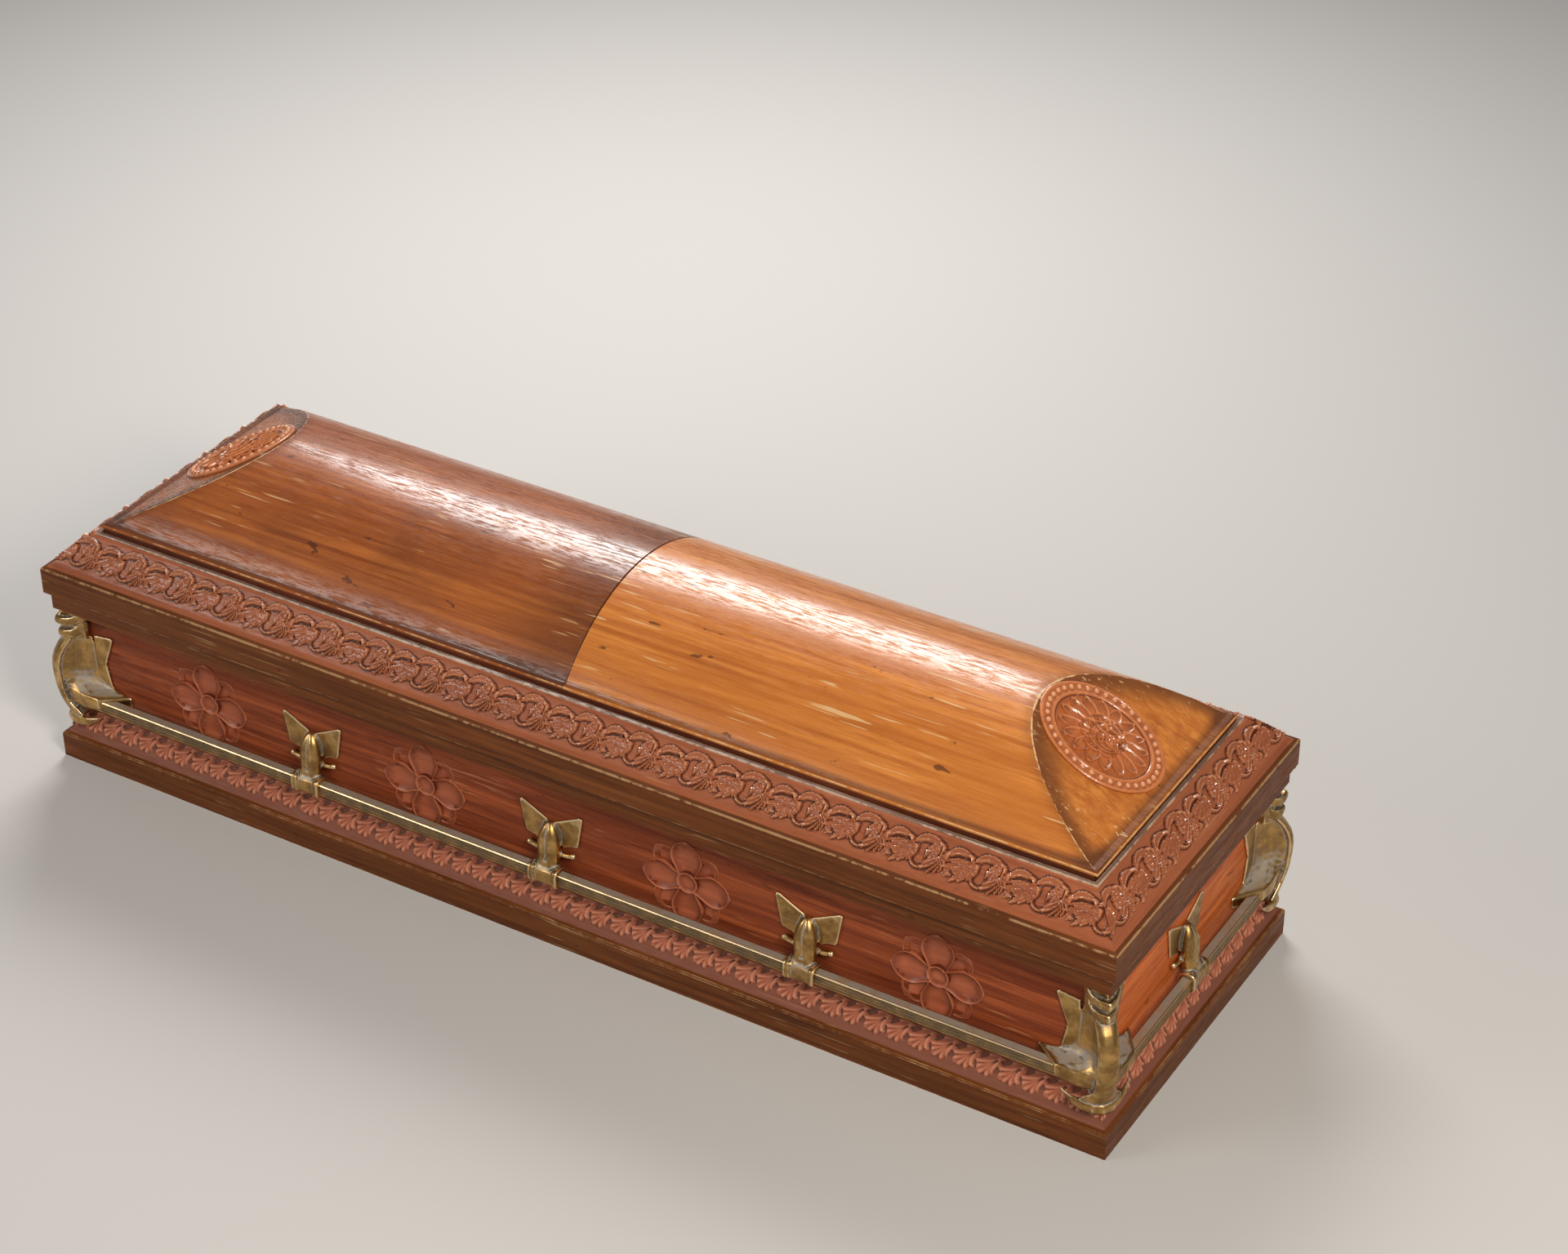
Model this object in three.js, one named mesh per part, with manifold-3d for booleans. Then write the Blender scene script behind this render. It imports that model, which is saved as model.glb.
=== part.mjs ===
// Carved wooden casket with a hinged vaulted lid and cast brass bar handles.
// Millimetres, +Z up, length along X, front towards -Y, origin under the middle of the base.
import * as THREE from 'three';
import { mergeVertices } from 'three/addons/utils/BufferGeometryUtils.js';
import Module from 'manifold-3d';

const wasm = await Module();
wasm.setup();

// Overall sizes. Every inset below is measured inwards from this outline.
const LENGTH = 2100;
const WIDTH = 660;
const GAP = 0.3;
const HALF_LENGTH = LENGTH / 2;
const HALF_WIDTH = WIDTH / 2;

// Box
const BOARD = 22;
const PANEL_INSET = 40;
const PANEL_TOP = 314;
const LINING = 16;
const BOTTOM_THICK = 18;
const FLOOR_TOP = 31;
const RIM_TOP = 348;
const RIM_INSET = 10;
const RIM_INNER = 82;
const RIM_GROOVE = RIM_TOP - 4;
const RIM_LIP = RIM_TOP + 2;

// Base moulding: an upright edge, a worn fillet and a slope of low leaves
const BASE_EDGE = 48;
const BASE_SLOPE = { from: [8, 51.5], to: [PANEL_INSET - GAP, 96] };
const BASE_PITCH = 80;
const BASE_RELIEF = 5;
const BASE_LEAF = [1, 1, 1, 1, 1, 0.65, 1, 0.65];

// Lid border: an upright rim, a cove, a slope of high leaves and a flat under the crown
const LID_BOTTOM = RIM_TOP + GAP;
const LID_INSET = 1;
const LID_SLOPE = { from: [22, 410], to: [70, 456] };
const LID_PITCH = 105;
const LID_RELIEF = 8;
const LID_LEAF = [1.05, 0.95, 0.72, 1, 1.05, 0.62, 1, 0.62];
const LID_TOP = 462.7;
const LID_INNER = 112;

// Crown: a barrel vault with a sloping hip at each end, standing on a thin ledge
const LEDGE_INSET = 84.6;
const LEDGE_THICK = 7.5;
const CROWN_HALF = { length: 957, width: 236 };
const CROWN_FOOT = LID_TOP + GAP + LEDGE_THICK;
const CROWN_RISE = 111;
const HIP_RUN = 210;
const CROWN_THICK = 16;
const LID_LINING = 4;
const DIVIDER_HALF = 11;
const DIVIDER_DEEP = 18;
const VAULT_STEPS = 14;

// Oval medallion on each hip
const OVAL = { along: 114, across: 95, centre: 121 };

// Rosettes on the front panel
const ROSETTE_PLACES = [-727, -262, 262, 727];
const ROSETTE_HEIGHT = 200;
const ROSETTE_RADIUS = 84;

// Brass bars, brackets and corners, placed outwards from the panel face
const BAR = { near: 16, far: 34, low: 123, high: 145, clear: 0.4 };
const BAR_SOCKET = 45;
const BRACKET_PLACES = [-495, 0, 495];

// Hinges along the back edge
const HINGE_PLACES = [-700, 0, 700];
const HINGE_HALF = 45;
const HINGE_AXIS = { out: HALF_WIDTH - 2, height: RIM_TOP + GAP / 2 };
const HINGE_SEAT = RIM_TOP - 2.7;
const KNUCKLE = 4.2;

// Pillow at the head end
const PILLOW = { from: -964, to: -566, half: 230, head: 158, foot: 92, pull: 0.11 };

const SIDES = [
  { name: 'front', turn: 0, half: HALF_LENGTH, depth: HALF_WIDTH },
  { name: 'right', turn: Math.PI / 2, half: HALF_WIDTH, depth: HALF_LENGTH },
  { name: 'back', turn: Math.PI, half: HALF_LENGTH, depth: HALF_WIDTH },
  { name: 'left', turn: -Math.PI / 2, half: HALF_WIDTH, depth: HALF_LENGTH },
];

const FINISHES = {
  edgeWood: { color: 0x5e3414, roughness: 0.45, metalness: 0 },
  panelWood: { color: 0x8a3c20, roughness: 0.5, metalness: 0 },
  carvedWood: { color: 0xa5583a, roughness: 0.45, metalness: 0 },
  crownWood: { color: 0xb5652a, roughness: 0.35, metalness: 0 },
  brass: { color: 0x9c7a3c, roughness: 0.38, metalness: 1 },
  linen: { color: 0xcfc6b8, roughness: 0.95, metalness: 0 },
};

const casket = new THREE.Group();

function place(name, finish, geometry, position = [0, 0, 0], turn = 0) {
  const mesh = new THREE.Mesh(geometry, new THREE.MeshStandardMaterial(FINISHES[finish]));
  mesh.name = name;
  mesh.position.set(...position);
  mesh.rotation.z = turn;
  casket.add(mesh);
}

// Solids

function placeOnSide(label, finish, solid, side) {
  place(`${label}_${side.name}`, finish, geometryFromSolid(solid), undefined, side.turn);
}

function solidFromTriangles(points, triangles) {
  const volume = triangles.reduce((sum, [a, b, c]) => {
    const cross = new THREE.Vector3().crossVectors(points[b], points[c]);
    return sum + points[a].dot(cross);
  }, 0);
  const facing = volume < 0 ? triangles.map(([a, b, c]) => [a, c, b]) : triangles;
  const vertProperties = new Float32Array(points.flatMap((p) => p.toArray()));
  const triVerts = new Uint32Array(facing.flat());
  return new wasm.Manifold(new wasm.Mesh({ numProp: 3, vertProperties, triVerts }));
}

function solidFromGeometry(geometry) {
  geometry.deleteAttribute('normal');
  geometry.deleteAttribute('uv');
  const merged = mergeVertices(geometry, 1e-4);
  const vertProperties = new Float32Array(merged.attributes.position.array);
  const triVerts = new Uint32Array(merged.index.array);
  return new wasm.Manifold(new wasm.Mesh({ numProp: 3, vertProperties, triVerts }));
}

function geometryFromSolid(solid) {
  const mesh = solid.getMesh();
  const geometry = new THREE.BufferGeometry();
  geometry.setAttribute('position', new THREE.BufferAttribute(mesh.vertProperties, 3));
  geometry.setIndex(new THREE.BufferAttribute(mesh.triVerts, 1));
  return geometry;
}

function join(solids) {
  return solids.reduce((whole, next) => whole.add(next));
}

function prism(outline, length, basis) {
  const shape = new THREE.Shape(outline.map(([a, b]) => new THREE.Vector2(a, b)));
  const geometry = new THREE.ExtrudeGeometry(shape, { depth: length, bevelEnabled: false });
  geometry.translate(0, 0, -length / 2);
  geometry.applyMatrix4(new THREE.Matrix4().makeBasis(...basis));
  return solidFromGeometry(geometry);
}

const AXIS_X = new THREE.Vector3(1, 0, 0);
const AXIS_Y = new THREE.Vector3(0, 1, 0);
const AXIS_Z = new THREE.Vector3(0, 0, 1);

const prismAlongX = (outline, length) => prism(outline, length, [AXIS_Y, AXIS_Z, AXIS_X]);
const prismAlongY = (outline, length) => prism(outline, length, [AXIS_X, AXIS_Z, AXIS_Y.clone().negate()]);
const prismUp = (outline, length) => prism(outline, length, [AXIS_X, AXIS_Y, AXIS_Z]);

function block(min, max) {
  const size = max.map((value, i) => value - min[i]);
  const geometry = new THREE.BoxGeometry(...size);
  geometry.translate(...min.map((value, i) => value + size[i] / 2));
  return solidFromGeometry(geometry);
}

// A flat-sided solid over a plan outline, each corner with its own foot and top height.
function slab(corners) {
  const count = corners.length;
  const points = [
    ...corners.map(([x, y, low]) => new THREE.Vector3(x, y, low)),
    ...corners.map(([x, y, , high]) => new THREE.Vector3(x, y, high)),
  ];
  const plan = corners.map(([x, y]) => new THREE.Vector2(x, y));
  const faces = THREE.ShapeUtils.triangulateShape(plan, []);
  const triangles = [];
  for (const [a, b, c] of faces) {
    triangles.push([a, c, b], [a + count, b + count, c + count]);
  }
  for (let i = 0; i < count; i += 1) {
    const j = (i + 1) % count;
    triangles.push([i, j, j + count], [i, j + count, i + count]);
  }
  const clockwise = THREE.ShapeUtils.isClockWise(plan);
  return solidFromTriangles(points, clockwise ? flipSides(triangles, faces.length * 2) : triangles);
}

function flipSides(triangles, first) {
  return triangles.map((face, i) => (i < first ? face : [face[0], face[2], face[1]]));
}

// A solid through rings with the same number of points, closed by a fan at each end.
function loft(rings) {
  const count = rings[0].length;
  const points = rings.flat();
  const triangles = [];
  for (let r = 0; r + 1 < rings.length; r += 1) {
    for (let i = 0; i < count; i += 1) {
      const a = r * count + i;
      const b = r * count + ((i + 1) % count);
      triangles.push([a, b, b + count], [a, b + count, a + count]);
    }
  }
  const cap = (ring, start, flip) => {
    const centre = ring.reduce((sum, p) => sum.add(p), new THREE.Vector3()).divideScalar(count);
    points.push(centre);
    const hub = points.length - 1;
    for (let i = 0; i < count; i += 1) {
      const j = (i + 1) % count;
      triangles.push(flip ? [hub, start + j, start + i] : [hub, start + i, start + j]);
    }
  };
  cap(rings[0], 0, true);
  cap(rings[rings.length - 1], (rings.length - 1) * count, false);
  return solidFromTriangles(points, triangles);
}

// Mitred rails: a profile of [inset, height] runs along one side and is cut at 45 degrees.

function mitreWedge(side, deepest) {
  const wide = side.half - GAP / 2;
  const outline = [
    [-wide, -side.depth],
    [wide, -side.depth],
    [wide - deepest, -side.depth + deepest],
    [-wide + deepest, -side.depth + deepest],
  ];
  return prismUp(outline, LENGTH);
}

function rail(side, profile, carving = []) {
  const outline = profile.map(([inset, height]) => [inset - side.depth, height]);
  const deepest = Math.max(...profile.map(([inset]) => inset)) + 1;
  const whole = join([prismAlongX(outline, side.half * 2), ...carving]);
  return whole.intersect(mitreWedge(side, deepest));
}

// The sloping face of a rail as a drawing board: u along the side, v up the slope, h out of it.
function slopeBoard(side, slope) {
  const [fromInset, fromHeight] = slope.from;
  const [toInset, toHeight] = slope.to;
  const rise = new THREE.Vector2(toInset - fromInset, toHeight - fromHeight);
  const width = rise.length();
  rise.normalize();
  const at = (u, v, h) => new THREE.Vector3(
    u,
    fromInset - side.depth + rise.x * v - rise.y * h,
    fromHeight + rise.y * v + rise.x * h,
  );
  return { at, width };
}

// A leaf: a lobed outline, folded up to a raised heart. Its spreads go round from the right, one for each
// corner: a low one is a notch. The edge stands off the ground by its own height, or lies on it.
function leaf(board, centre, reach, relief, spreads, edge) {
  const count = spreads.length;
  const ring = (height) => spreads.map((spread, k) => {
    const angle = (2 * Math.PI * k) / count;
    const u = Math.cos(angle) * reach[0] * spread;
    const v = Math.sin(angle) * reach[1] * spread;
    return board.at(centre[0] + u, centre[1] + v, height);
  });
  const heart = board.at(centre[0] + reach[0] * 0.15, centre[1] + reach[1] * 0.25, relief);
  const foot = board.at(centre[0], centre[1], -2);
  const rings = edge > 0 ? [ring(-1), ring(edge)] : [ring(-0.5)];
  const points = [...rings.flat(), heart, foot];
  const top = (rings.length - 1) * count;
  const triangles = [];
  for (let k = 0; k < count; k += 1) {
    const n = (k + 1) % count;
    triangles.push([top + k, top + n, points.length - 2], [n, k, points.length - 1]);
    if (edge > 0) {
      triangles.push([k, n, top + n], [k, top + n, top + k]);
    }
  }
  return solidFromTriangles(points, triangles);
}

function leafBand(side, slope, pitch, relief, spreads, edge) {
  const board = slopeBoard(side, slope);
  const count = Math.round((side.half * 2) / pitch);
  const step = (side.half * 2) / count;
  return Array.from({ length: count }, (_, i) => {
    const centre = [-side.half + (i + 0.5) * step, board.width * 0.5];
    return leaf(board, centre, [step * 0.47, board.width * 0.45], relief, spreads, edge);
  });
}

function baseMoulding(side) {
  const [fillet, slopeFoot] = BASE_SLOPE.from;
  const [back, slopeHead] = BASE_SLOPE.to;
  const profile = [
    [0, 0], [0, BASE_EDGE], [1.5, BASE_EDGE + 2], [fillet, slopeFoot], [back, slopeHead], [back, 0],
  ];
  const leaves = leafBand(side, BASE_SLOPE, BASE_PITCH, BASE_RELIEF, BASE_LEAF, 0);
  placeOnSide('base_moulding', 'carvedWood', rail(side, profile, leaves), side);
}

function boxRim(side) {
  const low = PANEL_TOP + GAP;
  const profile = [
    [RIM_INSET, low], [RIM_INSET, RIM_TOP - 2], [RIM_INSET + 2, RIM_TOP], [42, RIM_TOP],
    [46, RIM_GROOVE], [54, RIM_GROOVE], [58, RIM_LIP], [RIM_INNER - 4, RIM_LIP],
    [RIM_INNER, RIM_LIP - 3], [RIM_INNER, low],
  ];
  const whole = rail(side, profile);
  const seats = hingeSeats(HINGE_SEAT, RIM_TOP + 1, HALF_WIDTH - RIM_INSET + 1);
  placeOnSide('box_rim', 'edgeWood', side.name === 'back' ? whole.subtract(seats) : whole, side);
}

function lidBorder(side) {
  const [slopeInset, slopeFoot] = LID_SLOPE.from;
  const [headInset, slopeHead] = LID_SLOPE.to;
  const profile = [
    [LID_INSET, LID_BOTTOM], [LID_INSET, 397], [LID_INSET + 1.5, 399], [9.5, 400.5], [16, 404],
    [slopeInset, slopeFoot], [headInset, slopeHead], [72, 457.8], [80, 460.5], [82, 458.8], [85, LID_TOP],
    [LID_INNER, LID_TOP], [LID_INNER, 447], [106, 446], [57, 403], [53, 389], [45, 385], [41, LID_BOTTOM],
  ];
  const leaves = leafBand(side, LID_SLOPE, LID_PITCH, LID_RELIEF, LID_LEAF, LID_RELIEF * 0.35);
  let solid = rail(side, profile, leaves);
  if (side.name === 'back') {
    solid = solid.subtract(hingeSeats(LID_BOTTOM - 1, LID_BOTTOM + 2.8, HALF_WIDTH));
    solid = solid.subtract(knuckleRoom());
  }
  placeOnSide('lid_border', 'carvedWood', solid, side);
}

// Hinges: the side frame looks along the back, so its outward direction is -Y there too.

const HINGE_INNER = HALF_WIDTH - 34;

function hingeSeats(low, high, out) {
  const half = HINGE_HALF + GAP;
  const inner = -HINGE_INNER + GAP;
  return join(HINGE_PLACES.map((x) => block([x - half, -out, low], [x + half, inner, high])));
}

function knuckleRoom() {
  const half = HINGE_HALF + GAP;
  const inner = -HINGE_AXIS.out + KNUCKLE + 1.3;
  const top = HINGE_AXIS.height + KNUCKLE + 0.9;
  const low = LID_BOTTOM - 1;
  const outer = -HALF_WIDTH - 1;
  return join(HINGE_PLACES.map((x) => block([x - half, outer, low], [x + half, inner, top])));
}

// A knuckle and the tongue that joins it to its plate, as one profile of [outwards, height]
function knuckle(from, to, low, high) {
  const around = Array.from({ length: 6 }, (_, k) => {
    const angle = Math.PI * (k / 3 - 5 / 6);
    return [-HINGE_AXIS.out + KNUCKLE * Math.sin(angle), HINGE_AXIS.height + KNUCKLE * Math.cos(angle)];
  });
  const barrel = prismAlongX(around, to - from);
  const reach = (to - from) / 2;
  const tongue = block([-reach, -HINGE_AXIS.out, low], [reach, -HINGE_AXIS.out + 8, high]);
  return barrel.add(tongue).translate([(from + to) / 2, 0, 0]);
}

function hinges() {
  const third = HINGE_HALF / 3;
  const outer = -HINGE_AXIS.out + 7;
  const plate = (low, high) => block([-HINGE_HALF, outer, low], [HINGE_HALF, -HINGE_INNER, high]);
  const fixedLow = HINGE_SEAT + GAP;
  const fixedHigh = fixedLow + 2.4;
  const movingLow = LID_BOTTOM + 0.2;
  const movingHigh = movingLow + 2.2;
  const fixed = join([
    plate(fixedLow, fixedHigh),
    knuckle(-HINGE_HALF, -third - 0.4, fixedLow + 0.8, fixedHigh),
    knuckle(third + 0.4, HINGE_HALF, fixedLow + 0.8, fixedHigh),
  ]);
  const moving = plate(movingLow, movingHigh).add(knuckle(-third, third, movingLow, movingHigh));
  HINGE_PLACES.forEach((x, i) => {
    place(`hinge_box_leaf_${i + 1}`, 'brass', geometryFromSolid(fixed), [x, 0, 0], Math.PI);
    place(`hinge_lid_leaf_${i + 1}`, 'brass', geometryFromSolid(moving), [x, 0, 0], Math.PI);
  });
}

// Side panels, the front one with carved rosettes

// A rosette: four large petals over four smaller ones, scooped inside a raised rim, round a hollow eye.
function rosette(side, along) {
  const face = PANEL_INSET - side.depth;
  const spokes = 16;
  const kinds = [
    { tip: ROSETTE_RADIUS, rim: 5.5 }, { tip: ROSETTE_RADIUS * 0.56, rim: 1 },
    { tip: ROSETTE_RADIUS * 0.9, rim: 4 }, { tip: ROSETTE_RADIUS * 0.56, rim: 1 },
  ];
  const eye = { radius: 20, rim: 7, hollow: 2.5 };
  const ring = (reach, height) => Array.from({ length: spokes }, (_, k) => {
    const kind = kinds[k % kinds.length];
    const angle = (2 * Math.PI * k) / spokes;
    const radius = reach(kind, k % 2 === 1);
    const u = Math.cos(angle) * radius;
    const v = Math.sin(angle) * radius;
    return new THREE.Vector3(along + u, face - height(kind, k % 2 === 1), ROSETTE_HEIGHT + v);
  });
  const rings = [
    ring((kind) => kind.tip, () => -1),
    ring((kind) => kind.tip * 0.95, (kind) => kind.rim),
    ring((kind, between) => kind.tip * (between ? 0.7 : 0.5), (kind, between) => (between ? 3.5 : 1.5)),
    ring(() => eye.radius, () => eye.rim),
  ];
  const points = rings.flat();
  const triangles = [];
  for (let r = 0; r + 1 < rings.length; r += 1) {
    for (let k = 0; k < spokes; k += 1) {
      const a = r * spokes + k;
      const b = r * spokes + ((k + 1) % spokes);
      triangles.push([a, b, b + spokes], [a, b + spokes, a + spokes]);
    }
  }
  points.push(new THREE.Vector3(along, face - eye.hollow, ROSETTE_HEIGHT));
  points.push(new THREE.Vector3(along, face + 2, ROSETTE_HEIGHT));
  const last = (rings.length - 1) * spokes;
  for (let k = 0; k < spokes; k += 1) {
    const n = (k + 1) % spokes;
    triangles.push([last + k, last + n, points.length - 2], [n, k, points.length - 1]);
  }
  return solidFromTriangles(points, triangles);
}

function panel(side) {
  const inner = PANEL_INSET + BOARD;
  const profile = [[PANEL_INSET, 0], [PANEL_INSET, PANEL_TOP], [inner, PANEL_TOP], [inner, 0]];
  const board = rail(side, profile);
  const carved = side.name === 'front';
  const rosettes = carved ? ROSETTE_PLACES.map((along) => rosette(side, along)) : [];
  placeOnSide('panel', 'panelWood', join([board, ...rosettes]), side);
}

function wallLining(side) {
  const outer = PANEL_INSET + BOARD + GAP;
  const inner = outer + LINING;
  const low = FLOOR_TOP + GAP;
  const profile = [[outer, low], [outer, PANEL_TOP], [inner, PANEL_TOP], [inner, low]];
  placeOnSide('wall_lining', 'linen', rail(side, profile), side);
}

function floor() {
  const inset = PANEL_INSET + BOARD + GAP;
  const x = HALF_LENGTH - inset;
  const y = HALF_WIDTH - inset;
  place('bottom_board', 'edgeWood', geometryFromSolid(block([-x, -y, 0], [x, y, BOTTOM_THICK])));
  place('floor_lining', 'linen', geometryFromSolid(block([-x, -y, BOTTOM_THICK + GAP], [x, y, FLOOR_TOP])));
}

// Pillow: sides pulled in between pointed corners, crowned above, flat where it lies on the floor.
function pillow() {
  const steps = 5;
  const low = FLOOR_TOP + GAP;
  const middle = (PILLOW.from + PILLOW.to) / 2;
  const halfLong = (PILLOW.to - PILLOW.from) / 2;
  const points = [];
  const index = (i, j, top) => (top ? 0 : (steps + 1) ** 2) + i * (steps + 1) + j;
  for (const top of [true, false]) {
    for (let i = 0; i <= steps; i += 1) {
      for (let j = 0; j <= steps; j += 1) {
        const u = (2 * i) / steps - 1;
        const v = (2 * j) / steps - 1;
        const x = middle + halfLong * u * (1 - PILLOW.pull * (1 - v * v) * u * u);
        const y = PILLOW.half * v * (1 - PILLOW.pull * (1 - u * u) * v * v);
        const crown = Math.sqrt((1 - u * u) * (1 - v * v));
        const height = (PILLOW.head * (1 - u)) / 2 + (PILLOW.foot * (1 + u)) / 2;
        const seam = low + height * 0.35 + (1 - u) * 18;
        const upper = seam + 4 + (height * 0.62) * crown ** 0.7;
        const lower = Math.max(low, seam - 4 - height * 0.8 * crown ** 0.5);
        points.push(new THREE.Vector3(x, y, top ? upper : lower));
      }
    }
  }
  const triangles = [];
  for (let i = 0; i < steps; i += 1) {
    for (let j = 0; j < steps; j += 1) {
      for (const top of [true, false]) {
        const [a, b] = [index(i, j, top), index(i + 1, j, top)];
        const [c, d] = [index(i + 1, j + 1, top), index(i, j + 1, top)];
        triangles.push(...(top ? [[a, b, c], [a, c, d]] : [[a, c, b], [a, d, c]]));
      }
    }
  }
  const edge = [];
  for (let i = 0; i < steps; i += 1) edge.push([i, 0]);
  for (let j = 0; j < steps; j += 1) edge.push([steps, j]);
  for (let i = steps; i > 0; i -= 1) edge.push([i, steps]);
  for (let j = steps; j > 0; j -= 1) edge.push([0, j]);
  edge.forEach(([i, j], k) => {
    const [m, n] = edge[(k + 1) % edge.length];
    const [a, b, c, d] = [index(i, j, false), index(m, n, false), index(m, n, true), index(i, j, true)];
    triangles.push([a, b, c], [a, c, d]);
  });
  place('pillow', 'linen', geometryFromSolid(solidFromTriangles(points, triangles)));
}

// Crown: a vault drawn in from its outer face by a given thickness, open below.

function vault(inset) {
  const apex = CROWN_FOOT + CROWN_RISE;
  const radius = (CROWN_HALF.width ** 2 + CROWN_RISE ** 2) / (2 * CROWN_RISE);
  const centre = apex - radius;
  const low = CROWN_FOOT - LEDGE_THICK;
  const reach = radius - inset;
  const edge = Math.asin((low - centre) / reach);
  const section = [];
  for (let k = 0; k <= VAULT_STEPS; k += 1) {
    const angle = edge + ((Math.PI - 2 * edge) * k) / VAULT_STEPS;
    section.push([reach * Math.cos(angle), centre + reach * Math.sin(angle)]);
  }
  const slope = Math.atan2(CROWN_RISE, HIP_RUN);
  const end = CROWN_HALF.length - inset / Math.sin(slope);
  const hipAt = (height) => end - (height - CROWN_FOOT) / Math.tan(slope);
  const high = apex + 1;
  const side = [[hipAt(low), low], [hipAt(high), high], [-hipAt(high), high], [-hipAt(low), low]];
  return prismAlongX(section, LENGTH).intersect(prismAlongY(side, WIDTH));
}

function half(solid, from, to) {
  return solid.intersect(block([from, -HALF_WIDTH, 0], [to, HALF_WIDTH, LENGTH]));
}

function crown() {
  const ledgeX = HALF_LENGTH - LEDGE_INSET;
  const ledgeY = HALF_WIDTH - LEDGE_INSET;
  const ledge = block([-ledgeX, -ledgeY, CROWN_FOOT - LEDGE_THICK], [ledgeX, ledgeY, CROWN_FOOT]);
  const shell = join([vault(0), ledge]).subtract(vault(CROWN_THICK));
  const lining = vault(CROWN_THICK + GAP).subtract(vault(CROWN_THICK + GAP + LID_LINING));
  const rib = vault(CROWN_THICK + GAP).subtract(vault(CROWN_THICK + GAP + DIVIDER_DEEP));
  const seam = GAP;
  const liningFrom = DIVIDER_HALF + GAP;
  place('crown_left', 'crownWood', geometryFromSolid(half(shell, -HALF_LENGTH, -seam)));
  place('crown_right', 'crownWood', geometryFromSolid(half(shell, seam, HALF_LENGTH)));
  place('lid_lining_left', 'linen', geometryFromSolid(half(lining, -HALF_LENGTH, -liningFrom)));
  place('lid_lining_right', 'linen', geometryFromSolid(half(lining, liningFrom, HALF_LENGTH)));
  place('lid_divider', 'edgeWood', geometryFromSolid(half(rib, -DIVIDER_HALF, DIVIDER_HALF)));
}

// Medallion: an oval plate with a raised border, a ring of petals and a domed flower.
function medallionSolid() {
  const profile = [
    [0, 0], [1, 0], [1, 0.03], [0.97, 0.042], [0.83, 0.042], [0.79, 0.018], [0.27, 0.018],
    [0.2, 0.075], [0, 0.085],
  ].map(([r, h]) => new THREE.Vector2(r * OVAL.along, h * OVAL.along));
  const dish = new THREE.LatheGeometry(profile, 14);
  dish.rotateX(Math.PI / 2);
  const petals = [];
  const count = 8;
  for (let k = 0; k < count; k += 1) {
    const angle = (2 * Math.PI * k) / count;
    const point = (r, across, h) => new THREE.Vector3(
      Math.cos(angle) * r - Math.sin(angle) * across,
      Math.sin(angle) * r + Math.cos(angle) * across,
      h,
    ).multiplyScalar(OVAL.along);
    const plan = [[0.28, 0], [0.52, -0.12], [0.76, 0], [0.52, 0.12]];
    const corners = plan.map(([r, across]) => point(r, across, 0.012));
    const peak = point(0.55, 0, 0.05);
    const foot = point(0.5, 0, 0.01);
    const triangles = corners.flatMap((_, i) => [[i, (i + 1) % 4, 4], [(i + 1) % 4, i, 5]]);
    petals.push(solidFromTriangles([...corners, peak, foot], triangles));
  }
  return join([solidFromGeometry(dish), ...petals]);
}

function medallions() {
  const slope = Math.atan2(CROWN_RISE, HIP_RUN);
  const geometry = geometryFromSolid(medallionSolid());
  geometry.applyMatrix4(new THREE.Matrix4().makeScale(1, OVAL.across / OVAL.along, 1));
  const reach = CROWN_HALF.length - OVAL.centre * Math.cos(slope);
  const height = CROWN_FOOT + OVAL.centre * Math.sin(slope);
  const out = new THREE.Vector3(Math.sin(slope), 0, Math.cos(slope));
  const up = new THREE.Vector3(-Math.cos(slope), 0, Math.sin(slope));
  const basis = new THREE.Matrix4().makeBasis(up, new THREE.Vector3().crossVectors(out, up), out);
  basis.setPosition(new THREE.Vector3(reach, 0, height).addScaledVector(out, GAP));
  geometry.applyMatrix4(basis);
  place('medallion_right', 'carvedWood', geometry);
  place('medallion_left', 'carvedWood', geometry.clone(), undefined, Math.PI);
}

// Brass bars with a reeded outer face
function bar(side) {
  const near = PANEL_INSET - BAR.near;
  const far = PANEL_INSET - BAR.far;
  const profile = [
    [near, BAR.low], [near, BAR.high - 2], [near - 2, BAR.high], [far + 2, BAR.high], [far, BAR.high - 2],
    [far, 139], [far + 1.5, 138], [far + 1.5, 136], [far, 135],
    [far, 133], [far + 1.5, 132], [far + 1.5, 130], [far, 129], [far, BAR.low + 1.5], [far + 1.5, BAR.low],
  ];
  const outline = profile.map(([inset, height]) => [inset - side.depth, height]);
  const length = 2 * (side.half - PANEL_INSET - BAR_SOCKET - GAP);
  placeOnSide('bar', 'brass', prismAlongX(outline, length), side);
}

// Bracket: a butterfly plate, a grooved bud and an arm that ends in a ribbed sleeve round the bar.
// Drawn with x along the bar, the panel face at y = 0 and outwards towards -Y.

function mirrored(right) {
  return [...right, ...right.filter(([x]) => x !== 0).reverse().map(([x, z]) => [-x, z])];
}

const plateOn = (outline, thick) => prismAlongY(outline, thick).translate([0, -GAP - thick / 2, 0]);
const sideProfile = (outline, length) => prismAlongX(outline.map(([out, z]) => [-out, z]), length);

function bracketBud() {
  const levels = [[146, 17, 9, 35], [168, 17.5, 1.5, 26], [204, 15, 1.5, 24], [230, 2, 1.5, 6]];
  const shape = [0.75, 1.04, 1, 1, 1, 1, 1, 1.04];
  const rings = levels.map(([height, wide, near, far]) => shape.map((swell, k) => {
    const angle = (2 * Math.PI * k) / shape.length;
    const out = (near + far) / 2 + (Math.cos(angle) * swell * (far - near)) / 2;
    return new THREE.Vector3(Math.sin(angle) * wide * swell, -out, height);
  }));
  return loft(rings);
}

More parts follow.
